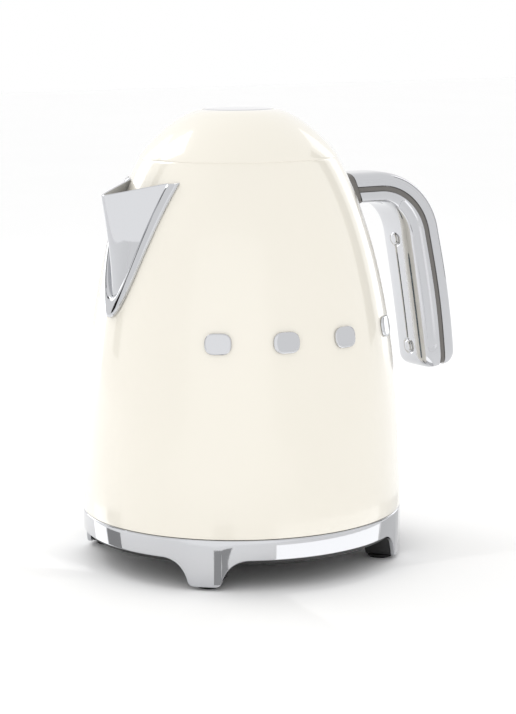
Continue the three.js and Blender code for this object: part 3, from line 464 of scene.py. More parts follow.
deck_outline = closed(filleted(
    [(socket_r + gap, deck - 2.5 * mm), (tray_r - 2.4 * mm, deck - 2.5 * mm),
     (tray_r - 2.4 * mm, ring_low - 2 * mm), (tray_r, ring_low - 2 * mm), (tray_r, deck),
     (tray_r - 4 * mm, deck), (tray_r - 4.6 * mm, deck - 0.4 * mm), (socket_r + 6 * mm, deck - 0.4 * mm),
     (socket_r + 5.4 * mm, deck), (socket_r + gap, deck)], 0.35 * mm))
gland_low, gland_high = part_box("cord_gland")
gland_z = (gland_low[2] + gland_high[2]) / 2
outlet = filleted([(-9 * mm, leg_low + 0.6 * mm), (9 * mm, leg_low + 0.6 * mm), (9 * mm, skirt_top),
                   (-9 * mm, skirt_top)], 2 * mm)
bridge = prism(outlet, edges(gland_low[0] + 1.9 * mm, gland_low[0] + 4.7 * mm, 0.4 * mm), facing_x())
blocks = [foot_block(turn) for turn in leg_turns]
tray = surface("base_tray_moulding", [lathe_grid(deck_outline), *blocks, bridge], black_abs)
piece(tray, "base", ["base_tray"])

# Underside of the base: a black ABS plate pushed into the tray, with a drum in its middle that
# takes the spare cord.
under_low, under_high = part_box("base_underside_cover")
drum_r, drum_z, plate_z = 34 * mm, under_low[2], under_high[2]
under = lathe_ring("underside_cord_drum", [
    (0.5 * mm, plate_z - 2.4 * mm), (drum_r - 2.4 * mm, plate_z - 2.4 * mm), (drum_r - 2.4 * mm, drum_z),
    (drum_r + 6 * mm, drum_z), (drum_r + 6 * mm, drum_z + 1.5 * mm), (drum_r, drum_z + 1.5 * mm),
    (drum_r, plate_z - 2.4 * mm), (under_high[0], plate_z - 2.4 * mm), (under_high[0], plate_z),
    (0.5 * mm, plate_z)], 0.5 * mm, black_abs)
piece(under, "base", ["base_underside_cover"])


# Nitrile rubber pads under the blocks, and the cord's grommet: matt, with a fine uneven skin.
# The pads are pushed into the blocks' undersides; the grommet grips the outlet in the skirt.
def soft_rubber(name, colour, roughness):
    return finish(name, colour, roughness, IOR=1.5, Specular_IOR_Level=0.3,
                  bump=(("Noise", 260.0, 5.0), 0.25, 0.2 * mm))


rubber = soft_rubber("black_nitrile_rubber", "#1d1d1d", 0.8)
for number in range(1, 5):
    low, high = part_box(f"foot_pad_{number}")
    middle = ((low[0] + high[0]) / 2, (low[1] + high[1]) / 2)
    pad_r = (high[0] - low[0]) / 2
    rim = filleted([(0.01 * mm, 0), (pad_r - 0.4 * mm, 0), (pad_r, high[2]), (0.01 * mm, high[2])],
                   [0, 0.6 * mm, 0.3 * mm, 0])
    pad = surface(f"rubber_pad_{number}", lathe_grid(closed(rim), 64, middle), rubber)
    piece(pad, "base", [f"foot_pad_{number}"])

grommet_r = (gland_high[2] - gland_low[2]) / 2
sleeve = closed(filleted([(3.3 * mm, 0), (grommet_r, 0), (grommet_r, 1.6 * mm), (4.6 * mm, 1.6 * mm),
                          (4.6 * mm, 5 * mm), (grommet_r - 0.2 * mm, 5 * mm), (grommet_r - 0.2 * mm, 7 * mm),
                          (3.3 * mm, 7 * mm)], 0.5 * mm))
standing = lathe_grid(sleeve, 48)
lying = np.stack([gland_low[0] + standing[..., 2], standing[..., 0], gland_z + standing[..., 1]], -1)
piece(surface("cord_grommet", lying, rubber), "base", ["cord_gland"])

# Cordless socket: a black nylon boss in the middle of the deck, with a ring slot and a centre hole
# over brass contacts, and a pale shutter ring that turns with the kettle's plug.
socket_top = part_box("socket_housing")[1][2]
boss = lathe_ring("socket_boss", [
    (3.2 * mm, deck - 6 * mm), (socket_r + 8 * mm, deck - 6 * mm), (socket_r + 8 * mm, deck - 2.9 * mm),
    (socket_r, deck - 2.9 * mm), (socket_r, socket_top), (15 * mm, socket_top), (15 * mm, deck),
    (9 * mm, deck), (9 * mm, socket_top - 3 * mm), (3.2 * mm, socket_top - 3 * mm)], 0.7 * mm, black_abs,
    sides=96)
piece(boss, "base", ["socket_housing"])


# Brass contacts, stamped and tumbled: warm, soft-edged, a little tarnished.
brass = finish("tumbled_brass", "#b8934c", 0.28, 1.0, tint=(("Noise", 400.0, 5.0), "#c8a45c", "#9a7838"))


def give(look, *nodes):
    """Gives frame nodes whose own shape is shown a finish of this object's."""
    for name in nodes:
        for slot in frame["nodes"][name].material_slots:
            slot.material = look


give(brass, "socket_contact_ring", "socket_centre_contact")
silicone = soft_rubber("pale_silicone", "#c4c1b8", 0.55)
shutter_low, shutter_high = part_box("socket_shutter")
shutter_in, shutter_out = 11.3 * mm, shutter_high[1]
shutter = lathe_ring("shutter_ring", [
    (shutter_in, shutter_low[2]), (shutter_out, shutter_low[2]), (shutter_out, shutter_high[2]),
    (shutter_in, shutter_high[2])], 0.3 * mm, silicone, sides=96)
piece(shutter, "shutter", ["socket_shutter"])

# ---- Kettle body ----------------------------------------------------------------------------
# Deep-drawn stainless steel, spun in at the shoulder and enamelled cream. The wall carries the
# spout's opening, the gauge window, the switch slot and a notch for the lid's hinge.
body_low, body_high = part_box("body_shell")
body_r, foot, mouth = body_high[1], body_low[2], body_high[2]
mouth_r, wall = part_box("lid_shell")[1][1], 1.2 * mm


def bezier(p0, p1, p2, p3, t):
    """Points of a cubic curve: the four points weighted by the Bernstein polynomials."""
    t = np.asarray(t, float)[:, None]
    p0, p1, p2, p3 = (np.asarray(p, float) for p in (p0, p1, p2, p3))
    return (1 - t) ** 3 * p0 + 3 * (1 - t) ** 2 * t * p1 + 3 * (1 - t) * t ** 2 * p2 + t ** 3 * p3


body_curve = bezier((body_r, foot), (body_r, foot + 76.1 * mm), (mouth_r + 24.8 * mm, mouth - 43.6 * mm),
                    (mouth_r, mouth), np.linspace(0, 1, 97))


def moved(curve, distance):
    """A curve moved outwards along its normals, which point right of its direction."""
    along = np.gradient(curve, axis=0)
    along /= np.linalg.norm(along, axis=1, keepdims=True)
    return curve + np.stack([along[:, 1], -along[:, 0]], 1) * distance


def radius_at(z, distance=0.0, curve=body_curve):
    line = moved(curve, distance)
    return np.interp(z, line[:, 1], line[:, 0])


def shell_outline(curve, outer, inner, lip=0.4 * mm):
    """The wall between two offsets of a curve, its two ends rounded by half an ellipse."""
    a, b = moved(curve, outer), moved(curve, inner)[::-1]
    swing = np.linspace(0, np.pi, 7)[1:-1, None]

    def end(p, q, tip):
        outwards = (tip - (p + q) / 2) / np.linalg.norm(tip - (p + q) / 2)
        return (p + q) / 2 + (p - q) / 2 * np.cos(swing) + outwards * lip * np.sin(swing)
    top = end(a[-1], b[0], (a[-1] + b[0]) / 2 + (curve[-1] - curve[-2]) * 10)
    low = end(b[-1], a[0], (b[-1] + a[0]) / 2 - (curve[1] - curve[0]) * 10)
    return closed(np.concatenate([a, top, b, low]))


def cut(target, *grids):
    """Cuts closed grids out of a piece, and shades what is left as the piece was."""
    for number, grid in enumerate(grids):
        cutter = surface(f"{target.name}_cutter_{number}", grid, target.data.materials[0])
        change = target.modifiers.new("cut", "BOOLEAN")
        change.operation, change.solver, change.object = "DIFFERENCE", "EXACT", cutter
        done = bpy.data.meshes.new_from_object(target.evaluated_get(bpy.context.evaluated_depsgraph_get()))
        target.modifiers.clear()
        target.data = done
        bpy.data.objects.remove(cutter)
    look = target.data.materials[0]
    work = bmesh.new()
    work.from_mesh(target.data)
    for face in work.faces:
        face.smooth = True
        face.material_index = 0
    for edge in work.edges:
        edge.smooth = len(edge.link_faces) == 2 and edge.calc_face_angle(0) < math.radians(30)
    work.to_mesh(target.data)
    work.free()
    target.data.materials.clear()
    target.data.materials.append(look)
    return target


# Cream enamel on steel: sprayed wet and stoved, so it is glassy, flows round edges, and keeps a
# very slight orange peel about 2 mm across under a clear, hard top.
enamel = finish("cream_stoved_enamel", "#f2ede1", 0.22, IOR=1.5, Coat_Weight=1.0, Coat_Roughness=0.03,
                Coat_IOR=1.5, tint=(("Noise", 14.0, 2.0), "#f1ecdf", "#f3eee2"),
                bump=(("Noise", 420.0, 2.0), 0.03, 0.3 * mm), normals=("Normal", "Coat Normal"))
rim_z = mouth - 10 * mm
v_low = rim_z - 70.5 * mm
spout_half, flange = 26.8 * mm, 6.5 * mm
window_top = rim_z - 9 * mm
hinge_half = 8 * mm
gauge_low, gauge_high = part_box("gauge_window")
gauge_z, gauge_tall = (gauge_low[2] + gauge_high[2]) / 2, 33 * mm
lever_low, lever_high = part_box("switch_lever")
switch_z = (lever_low[2] + lever_high[2]) / 2 - 3 * mm


def spout_v(inset, steps=16):
    """Half width of the spout from the front, which grows with the square root of the height."""
    share = np.linspace(0, 1, steps) ** 2
    low = v_low + inset * 1.7
    return (spout_half - inset) * np.sqrt(share), low + share * (rim_z - low)


half, z = spout_v(flange + 1.5 * mm)
keep = z < window_top
half, z = half[keep], z[keep]
pouring = np.stack([np.concatenate([half, -half[::-1][:-1]]), np.concatenate([z, z[::-1][:-1]])], 1)
body = revolved("body_shell_enamelled", shell_outline(body_curve, 0, -wall), enamel, sides=256)
through = [(30 * mm, 0), (120 * mm, 0)]
cut(body,
    prism(pouring, through, facing_x(math.pi)),
    prism(rounded_box(0, gauge_z, 5.3 * mm, gauge_tall + gap, 5 * mm), through, facing_x()),
    prism(rounded_box(0, switch_z, 5 * mm, 11 * mm, 2 * mm), through, facing_x()),
    prism(rounded_box(0, mouth + 3 * mm, hinge_half + gap, 7.5 * mm, 1.2 * mm), through, facing_x()))
piece(body, "kettle", ["body_shell"])


# Brushed stainless for what is inside: a satin finish whose fine lines run one way round.
brushing = ("Noise", 1.0, 3.0, (60.0, 60.0, 1400.0))
steel = finish("brushed_stainless", "#b9bab8", 0.3, 1.0, dull=(brushing, 0.2, 0.42),
               bump=(brushing, 0.06, 0.2 * mm))
body.data.materials.append(steel)
middles = np.array([face.center[:] for face in body.data.polygons])
inner_faces = np.hypot(middles[:, 0], middles[:, 1]) < radius_at(middles[:, 2], -0.7 * wall)
body.data.polygons.foreach_set("material_index", inner_faces.astype(np.int32))


def on_body(turn=0.0, curve=body_curve):
    """Places (a, b, depth) on the body: b is the height on its skin, the depth is measured out of
    the skin along its normal, and a is the distance sideways, turned about the vertical axis."""
    out = moved(curve, 1.0) - curve

    def place(a, b, d):
        r = np.interp(b, curve[:, 1], curve[:, 0]) + d * np.interp(b, curve[:, 1], out[:, 0])
        z = b + d * np.interp(b, curve[:, 1], out[:, 1])
        x = np.sqrt(np.maximum(r ** 2 - a ** 2, 1e-9))
        c, s = math.cos(turn), math.sin(turn)
        return np.stack([x * c - a * s, x * s + a * c, z], -1)
    return place


# Underside of the kettle: a black ABS cover with a well for the socket, held by three steel screws
# whose heads lie in countersinks.
cover_low, cover_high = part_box("bottom_cover")
cover_z, skirt_r, well_r, cover_r = cover_low[2], cover_high[0], socket_r + 0.8 * mm, body_r - 3 * mm
cover = lathe_ring("bottom_cover_moulding", [
    (well_r, cover_z), (cover_r, cover_z), (cover_r, foot + gap), (skirt_r, foot + gap),
    (skirt_r, foot + 5 * mm), (skirt_r - 2 * mm, foot + 5 * mm), (skirt_r - 2 * mm, cover_z + 2 * mm),
    (well_r + 1.6 * mm, cover_z + 2 * mm), (well_r + 1.6 * mm, socket_top), (well_r, socket_top)],
    0.5 * mm, black_abs)
screws = [f"bottom_screw_{number}" for number in range(1, 4)]
screw_middles = [np.mean(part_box(name), axis=0)[:2] for name in screws]
countersink = [(centre, cover_z - 1 * mm), (3.4 * mm, cover_z - 1 * mm), (3.4 * mm, cover_z + 0.2 * mm),
               (1.9 * mm, cover_z + 1.7 * mm), (1.9 * mm, cover_z + 9 * mm), (centre, cover_z + 9 * mm)]
cut(cover, *[lathe_grid(closed(np.array(countersink)), 24, middle) for middle in screw_middles])
piece(cover, "kettle", ["bottom_cover"])
give(steel, *screws)

# Vessel floor and heater: a pressed stainless pan sealed to the wall, with a sheathed element, a
# black control and the lever's steam switch hung under it and a silicone tube that leads steam down.
floor_r, floor_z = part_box("vessel_floor")[1][0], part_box("vessel_floor")[1][2]
pan_wall, rim_deep = 1.5 * mm, 7 * mm
pan = lathe_ring("vessel_floor_pan", [
    (centre, floor_z - pan_wall), (floor_r - pan_wall, floor_z - pan_wall),
    (floor_r - pan_wall, floor_z - rim_deep), (floor_r, floor_z - rim_deep), (floor_r, floor_z),
    (centre, floor_z)], 0.8 * mm, steel)
tube_low, tube_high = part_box("steam_tube")
tube_x = (tube_low[0] + tube_high[0]) / 2
tube_r, tube_bore = 4 * mm, 2.8 * mm
drill = np.array([(centre, -5 * mm), (tube_r + gap, -5 * mm), (tube_r + gap, 5 * mm), (centre, 5 * mm)])
cut(pan, lathe_grid(closed(drill + [0, floor_z]), 48, (tube_x, 0)))
piece(pan, "kettle", ["vessel_floor"])
tube = lathe_ring("steam_tube_silicone", [
    (tube_bore, tube_low[2]), (tube_r, tube_low[2]), (tube_r, tube_high[2]), (tube_bore, tube_high[2])],
    0.4 * mm, silicone, sides=48, middle=(tube_x, 0))
piece(tube, "kettle", ["steam_tube"])
control_low, control_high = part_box("control_unit")
control_r, plug_in, plug_out = control_high[0], shutter_in, shutter_out
control = lathe_ring("control_and_plug", [
    (centre, control_low[2]), (1 * mm, control_low[2]), (1.2 * mm, socket_top - 2.2 * mm),
    (plug_in, socket_top - 2.2 * mm), (plug_in, deck + 2.3 * mm), (plug_out, deck + 2.3 * mm),
    (plug_out, socket_top + 0.8 * mm), (control_r, socket_top + 0.8 * mm),
    (control_r, control_high[2] - 4 * mm),
    (control_r - 4 * mm, control_high[2]), (centre, control_high[2])], 0.3 * mm, black_abs, sides=96)
piece(control, "kettle", ["control_unit"])
give(steel, "heating_element", "switch_pin", "handle_screw_1", "handle_screw_2")
give(black_abs, "steam_switch")
give(silicone, "floor_seal", "gauge_gasket", "lid_seal")

# Grey ABS collar inside the mouth: the lid's plug drops into it and its latch hooks under it.
plug_r = mouth_r - 10.2 * mm
collar_in = plug_r + 0.8 * mm
collar_low, collar_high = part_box("mouth_collar")
top_r, low_r = radius_at(collar_high[2], -1.5 * mm), radius_at(collar_low[2], -1.5 * mm)
warm_grey = moulded("warm_grey_moulded_abs", "#6b6865", 0.42, 0.5 * mm, 0.08)
collar = lathe_ring("mouth_collar_moulding", [
    (collar_in, mouth - 12 * mm), (collar_in + 2 * mm, mouth - 12 * mm), (collar_in + 2 * mm, mouth - 4 * mm),
    (top_r - 1 * mm, mouth - 4 * mm), (low_r - 2 * mm, collar_low[2]), (low_r, collar_low[2]),
    (top_r, collar_high[2]), (collar_in, collar_high[2])], 0.5 * mm, warm_grey)
seat_x = collar_in + 3 * mm
cut(collar,
    prism(rounded_box(0, mouth - 3.7 * mm, hinge_half + gap, 4.8 * mm, 0.5 * mm),
          [(seat_x - gap, 0), (90 * mm, 0)], facing_x()),
    prism(rounded_box(0, mouth - 4.5 * mm, 4.3 * mm, 2 * mm, 0.4 * mm),
          [(collar_in - 1 * mm, 0), (collar_in + 1.4 * mm, 0)], facing_x(math.pi)))
piece(collar, "kettle", ["mouth_collar"])

# Hinge at the back of the mouth: a plated bracket with two knuckles, riveted inside the wall, and a
# ground steel pin through them and the lid's arm.
hinge_x, hinge_z, knuckle_r, arm_half = mouth_r + 1.6 * mm, mouth + gap, 2.6 * mm, hinge_half / 2
ear_low, block_low, block_top = mouth - 4.2 * mm, mouth - 8 * mm, mouth - 2.6 * mm
a = np.linspace(-np.pi / 2, np.pi / 2, 18)
knuckle = np.stack([hinge_x + knuckle_r * np.cos(a), hinge_z + knuckle_r * np.sin(a)], 1)
ear = np.concatenate([[(hinge_x - 6 * mm, ear_low), (hinge_x - 1 * mm, ear_low)], knuckle,
                      [(hinge_x - 6 * mm, hinge_z)]])
ears = [prism(ear, edges(*span, 0.4 * mm), facing_y)
        for span in ((-hinge_half, -arm_half - 0.5 * mm), (arm_half + 0.5 * mm, hinge_half))]
block = prism([(seat_x, block_low), (radius_at(block_low, -3 * mm), block_low),
               (radius_at(block_top, -3 * mm), block_top), (seat_x, block_top)],
              edges(-hinge_half, hinge_half, 0.4 * mm), facing_y)
piece(surface("hinge_bracket_plated", [block] + ears, chrome), "kettle", ["lid_hinge_bracket"])
pin_r, pin_end = 1.2 * mm, hinge_half + 0.4 * mm
pin = lathe_grid(closed(filleted([(centre, -pin_end), (pin_r, -pin_end), (pin_r, pin_end),
                                  (centre, pin_end)], 0.3 * mm)), 32)
pin = np.stack([hinge_x + pin[..., 0], pin[..., 2], hinge_z + pin[..., 1]], -1)
piece(surface("hinge_pin_steel", pin, steel), "kettle", ["lid_hinge_pin"])

# ---- Spout -----------------------------------------------------------------------------------
# One zinc casting, polished and chromed: a raised flange that follows the body round a V, and a
# thin-walled beak with flat sides and a rounded ridge that flicks out at the tip.
reach, tip_z = -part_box("spout")[0][0], rim_z - 6.8 * mm
slope = (rim_z - tip_z) / (reach - math.sqrt(radius_at(rim_z) ** 2 - spout_half ** 2))
ridge_foot = 0.8 * mm - radius_at(v_low)
ridge = bezier((ridge_foot, v_low), (ridge_foot + 1.3 * mm, v_low + 21 * mm),
               (-reach + 3.6 * mm, tip_z - 22 * mm), (-reach, tip_z), np.linspace(0, 1, 65))
rows = np.linspace(0, 1, 73)[:, None]


def rim_height(x):
    return tip_z + (x + reach) * slope


def flange_points(inset, height, side):
    """A line down one side of the V: it lies inset from the outer edge and stands height off the body;
    half width grows with the square root of the height."""
    low = v_low + inset * 1.7
    z = low + rows ** 2 * (rim_z - low)
    y = (spout_half - inset) * rows
    for _ in range(4):
        x = -np.sqrt(np.maximum((radius_at(z) + height) ** 2 - y ** 2, 1e-9))
        z = low + rows ** 2 * (rim_height(x) - low)
    return np.stack(np.broadcast_arrays(x, side * y, z), -1)


def beak_points(thickness, share):
    """Level lines of the beak from flange to ridge: half width falls evenly with the share, and the
    depth follows a hyperbola whose arms are the flat sides and whose tip is the rounded ridge."""
    inset = flange + 0.2 * mm
    low = v_low + inset * 1.7
    start = flange_points(inset, 0.35 * mm, 1)
    half = np.maximum(start[..., 1] - thickness, 0)
    nose = 0.11
    fall = (np.sqrt(share ** 2 + nose ** 2) - nose) / (math.sqrt(1 + nose ** 2) - nose)
    z = start[..., 2] + 0 * share
    for _ in range(5):
        front = np.interp(z, ridge[:, 1], ridge[:, 0]) + thickness
        x = front + (start[..., 0] - front) * fall
        z = low + rows ** 2 * (rim_height(x) - low)
    return np.stack([x, half * share, z], -1)


band = [(0, 0.4), (0, 1.7), (0.12, 2.0), (0.45, 2.2), (1.2, 2.32), (3.2, 2.4), (4.8, 2.3), (5.5, 2.05),
        (5.9, 1.5), (6.05, 0.4)]
band = [(inset * mm, height * mm) for inset, height in band]
sweep = np.sign(np.linspace(-1, 1, 49)) * np.abs(np.linspace(-1, 1, 49)) ** 1.4
left = np.concatenate([flange_points(inset, height, -1) for inset, height in band], 1)
right_side = np.concatenate([flange_points(inset, height, 1) for inset, height in band], 1)[:, ::-1]
outer = np.concatenate([left, beak_points(0.0, sweep[None, :]), right_side], 1)
under = [flange_points(inset * mm, 0.4 * mm, 1) for inset in (0.3, 3, 6)]
inner = np.concatenate([under[0], under[1], under[2]], 1)
inner_left = inner * [1, -1, 1]
inner = np.concatenate([inner_left, beak_points(1.3 * mm, sweep[None, :]), inner[:, ::-1]], 1)
loop = np.concatenate([outer, inner[:, ::-1], outer[:, :1]], 1)
match = np.round(np.linspace(0, inner.shape[1] - 1, outer.shape[1])).astype(int)
match[:len(band)] = np.round(np.linspace(0, 3, len(band))).astype(int)
match[-len(band):] = inner.shape[1] - 1 - match[:len(band)][::-1]
match[len(band):-len(band)] = 3 + np.arange(49)
crown = (outer[-1] + inner[-1][match]) / 2 + [0, 0, 0.35 * mm]
rim = np.stack([outer[-1], crown, inner[-1][match]])
spout = surface("spout_casting", [loop, rim], chrome, smooth=32)
piece(spout, "kettle", ["spout"])

# Scale filter: a grey frame that clips in behind the pouring opening, round a screen woven from
# 0.2 mm steel wire; the weave is drawn at 1 mm so that it shows.
frame_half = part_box("filter_frame")[1][1]
frame_low = v_low + 12 * mm
middle_z, half_tall = (frame_low + window_top) / 2, (window_top - frame_low) / 2
ring_outline = rounded_box(0, middle_z, frame_half, half_tall, 4 * mm, 8)
hole_outline = rounded_box(0, middle_z, frame_half - 3 * mm, half_tall - 3 * mm, 1.2 * mm, 8)


def hoop(outside, inside, near, far, place):
    """The grid of a flat ring between two outlines, carried round a section with rounded corners."""
    section = closed(filleted([(0, near), (1, near), (1, far), (0, far)], 0.12, 4))
    share, depth = section[:, 0][:, None, None], section[:, 1][:, None]
    outside, inside = closed(np.asarray(outside)), closed(np.asarray(inside))
    line = outside + (inside - outside) * share
    return place(line[..., 0], line[..., 1], np.broadcast_to(depth, line.shape[:2]))


frame_ring = hoop(ring_outline, hole_outline, -4.5 * mm, -1.5 * mm, on_body(math.pi))
piece(surface("filter_frame_moulding", frame_ring, warm_grey), "filter", ["filter_frame"])


# Woven steel wire: two sets of waves at right angles, with a painted highlight on their crests and painted
# shade between them, so the cloth reads as a fine grid of round wires with holes in it.
def woven_wire_painted_shading(name, pitch):
    made, tree, shader = material(name, "#a9aaa8", 0.35, 1.0)
    place = add_node(tree, "ShaderNodeTexCoord")
    bands = [add_node(tree, "ShaderNodeTexWave", {"bands_direction": axis}, {"Vector": (place, "Object")},
                      Scale=np.pi / 10 / pitch, Distortion=0.0) for axis in ("Y", "Z")]
    top = add_node(tree, "ShaderNodeMath", {"operation": "MAXIMUM"},
                   {0: (bands[0], "Fac"), 1: (bands[1], "Fac")})
    # Painted light: the dark grey is painted shade in the gaps, and the pale grey is a painted highlight on
    # the wire crests.
    tint = add_node(tree, "ShaderNodeMix", {"data_type": "RGBA"}, {"Factor": (top, "Value")})
    tint.inputs["A"].default_value, tint.inputs["B"].default_value = linear("#2c2c2c"), linear("#c4c5c3")
    bump = add_node(tree, "ShaderNodeBump", links={"Height": (top, "Value")}, Strength=0.8, Distance=0.0004)
    tree.links.new(tint.outputs["Result"], shader.inputs["Base Color"])
    tree.links.new(bump.outputs["Normal"], shader.inputs["Normal"])
    return made


wire_cloth_painted_shading = woven_wire_painted_shading("woven_steel_wire", 1 * mm)
screen = prism(rounded_box(0, middle_z, frame_half - 3.2 * mm, half_tall - 3.2 * mm, 1 * mm),
               [(-2.9 * mm, 0), (-2.1 * mm, 0)], on_body(math.pi), caps=10)
piece(surface("filter_screen_woven", screen, wire_cloth_painted_shading), "filter", ["filter_screen"])

# ---- Handle ----------------------------------------------------------------------------------
# Two chromed shells screwed together over a grey ABS core, which shows as a thin strip between
# them and as a flared collar at the body. The free end is rounded; the flanks carry a long groove.
handle_z, bend_start, bend_r = mouth - 20.9 * mm, body_r - 2.7 * mm, 33 * mm
bend_turn, grip_long, half_wide = math.radians(81), 77 * mm, 14 * mm
strip_side = 1.4 * mm
collar_deep = 8 * mm
neck_start = radius_at(handle_z) + collar_deep
neck_long = bend_start - neck_start
handle_long = neck_long + bend_r * bend_turn + grip_long


def handle_line(s):
    """Middle line of the handle seen from the side: level, once round the bend, then the grip, which
    bows outwards a little. Returns places and outward normals for distances along it."""
    a = np.clip((s - neck_long) / bend_r, 0, bend_turn)
    x = neck_start + np.minimum(s, neck_long) + bend_r * np.sin(a)
    z = handle_z - bend_r * (1 - np.cos(a))
    past = np.clip(s - neck_long - bend_r * bend_turn, 0, None)
    share = np.clip(past / grip_long, 0, 1)
    normal = np.stack([np.sin(a), np.cos(a)], -1)
    bow = 1.6 * mm * np.sin(np.pi * share)
    place = np.stack([x + past * math.cos(bend_turn), z - past * math.sin(bend_turn)], -1)
    return place + normal * bow[..., None], normal, a / bend_turn, share


def handle_bar(low, high, long, outline, marks=None, end=7.5 * mm, rows=130):
    """The grid of a bar swept along the middle line: a closed unit section (y, share) scaled to the
    thickness there, its start following the body, its far end rounded off like a quarter circle."""
    s = np.unique(np.concatenate([np.linspace(0, long - end, rows),
                                  long - end + end * np.sin(np.linspace(0, np.pi / 2, 12))]))
    place, normal, bent, share = handle_line(s)
    soft = bent ** 2 * (3 - 2 * bent)
    near, far = (np.asarray(v(soft, share)) for v in (low, high))
    drop = 1 - np.sqrt(np.maximum(1 - np.clip((s - long + end) / end, 0, 1) ** 2, 0))
    thick = np.abs(far - near) - drop * min(end, 6.5 * mm) * (np.abs(far) > 3 * mm)
    wide = 1 - drop * 3.2 * mm / half_wide
    y = outline[None, :, 0] * wide[:, None]
    n = near[:, None] + np.sign(far - near)[:, None] * outline[None, :, 1] * thick[:, None]
    if marks:
        y, n = marks(s[:, None], y, n, near[:, None], far[:, None], share[:, None])
    x = place[:, None, 0] + normal[:, None, 0] * n
    z = place[:, None, 1] + normal[:, None, 1] * n
    start = np.sqrt(radius_at(np.minimum(z, mouth)) ** 2 - y ** 2) + collar_deep
    neck = np.clip(1 - s[:, None] / neck_long, 0, 1)
    x = x + (start - neck_start) * neck
    grid = np.stack([x, y, z], -1)
    grid = np.concatenate([grid[:1].mean(1, keepdims=True) + 0 * grid[:1], grid,
                           grid[-1:].mean(1, keepdims=True) + 0 * grid[-1:]])
    return np.concatenate([grid, grid[:, :1]], 1)


def shell_section(columns, corner, crown, low_corner=0.35 * mm):
    """Unit section of a shell: straight flanks, round shoulders and a slightly crowned back, as
    (y, share of the thickness), with evenly spread points."""
    tall = 11 * mm
    corners = [(-half_wide, 0), (half_wide, 0), (half_wide, tall), (-half_wide, tall)]
    line = closed(filleted(corners, [low_corner, low_corner, corner, corner], 10))
    length = np.concatenate([[0], np.cumsum(np.linalg.norm(np.diff(line, axis=0), axis=1))])
    even = np.linspace(0, length[-1], columns, endpoint=False)
    line = np.stack([np.interp(even, length, line[:, k]) for k in (0, 1)], 1)
    line[:, 1] *= 1 - crown * (line[:, 0] / half_wide) ** 2 * (line[:, 1] > 0.5 * tall)
    return line * [1, 1 / tall]


def back_low(soft, share):
    return strip_side + 0 * soft


def back_high(soft, share):
    return (9.2 + 1.5 * soft) * mm


def belly_low(soft, share):
    return -strip_side + 0 * soft


def belly_high(soft, share):
    return -(8.2 + 4.8 * soft + 1.2 * np.sin(np.pi * share)) * mm


cap_shares = (0.005, 0.83)
grip_start = neck_long + bend_r * bend_turn
groove_ends = (neck_long + 0.42 * bend_r * bend_turn, handle_long - 13 * mm)


def belly_marks(s, y, n, near, far, share):
    """Presses a long round-ended groove into each flank, a fine parting line down the belly from one
    cap to the other, and a ring round each cap."""
    middle = near + (far - near) * 0.46
    beyond = np.maximum(np.maximum(groove_ends[0] - s, s - groove_ends[1]), 0)
    away = np.hypot(beyond, n - middle)
    depth = 0.9 * mm * np.clip((3.1 * mm - away) / (1.0 * mm), 0, 1)
    flank = np.clip((np.abs(y) - 12.4 * mm) / (1.0 * mm), 0, 1)
    y = y - np.sign(y) * depth * flank
    first, last = (grip_start + grip_long * c for c in cap_shares)
    inside_line = np.clip((s - first) / (2 * mm), 0, 1) * np.clip((last - s) / (2 * mm), 0, 1)
    crease = 0.45 * mm * np.clip(1 - np.abs(y) / (0.7 * mm), 0, 1) * inside_line
    ring = sum(np.clip(1 - np.abs(np.hypot(s - c, y) - 3.9 * mm) / (0.6 * mm), 0, 1) for c in (first, last))
    on_belly = np.abs(n) > np.abs(far) * 0.8
    return y, n + (crease + 0.8 * mm * ring) * on_belly


back = handle_bar(back_low, back_high, handle_long, shell_section(96, 6.5 * mm, 0.10))
piece(surface("handle_back_shell", back, chrome), "kettle", ["handle_outer_shell"])
belly = handle_bar(belly_low, belly_high, handle_long, shell_section(150, 6.5 * mm, 0.06), belly_marks,
                   rows=280)
piece(surface("handle_belly_shell", belly, chrome, smooth=50), "kettle", ["handle_inner_shell"])
strip_outline = np.array([(-13.6, 0), (13.6, 0), (13.6, 1), (-13.6, 1)]) * [mm, 1]
strip = handle_bar(lambda soft, share: -1.25 * mm + 0 * soft, lambda soft, share: 1.25 * mm + 0 * soft,
                   handle_long - 0.8 * mm, strip_outline, end=3 * mm)
collar_mid = handle_z + 0.5 * mm


def off_the_side(a, b, d):
    """Places (across, height, distance straight out of the body's skin)."""
    return np.stack([np.sqrt(radius_at(b) ** 2 - a ** 2) + d, a, b], -1)


flared = prism(rounded_box(0, collar_mid, half_wide + 1.7 * mm, 10.3 * mm, 6 * mm, 10),
               [(0.3 * mm, 0.15 * mm), (0.5 * mm, 0), (1.3 * mm, 0.15 * mm), (2.6 * mm, 0.8 * mm),
                (4.2 * mm, 1.4 * mm), (5.6 * mm, 1.7 * mm), (collar_deep - gap, 1.75 * mm)],
               off_the_side, caps=6)
piece(surface("handle_core_moulding", [strip, flared], warm_grey), "kettle", ["handle_core"])

for number, share in enumerate(cap_shares, 1):
    place, normal, bent, along = handle_line(np.array([grip_start + grip_long * share]))
    out = -normal[0]
    face = place[0] + out * -belly_high(np.array([1.0]), along)[0]
    cap_outline = closed(filleted([(centre, -4 * mm), (3.5 * mm, -4 * mm), (3.5 * mm, 0.5 * mm),
                                   (2.6 * mm, 1.1 * mm), (centre, 1.2 * mm)], 0.3 * mm))
    disc = lathe_grid(cap_outline, 48)
    across = np.array([-out[1], out[0]])
    x = face[0] + out[0] * disc[..., 2] + across[0] * disc[..., 0]
    z = face[1] + out[1] * disc[..., 2] + across[1] * disc[..., 0]
    cap = surface(f"screw_cap_{number}", np.stack([x, disc[..., 1], z], -1), chrome)
    piece(cap, "kettle", [f"handle_cap_{number}"])

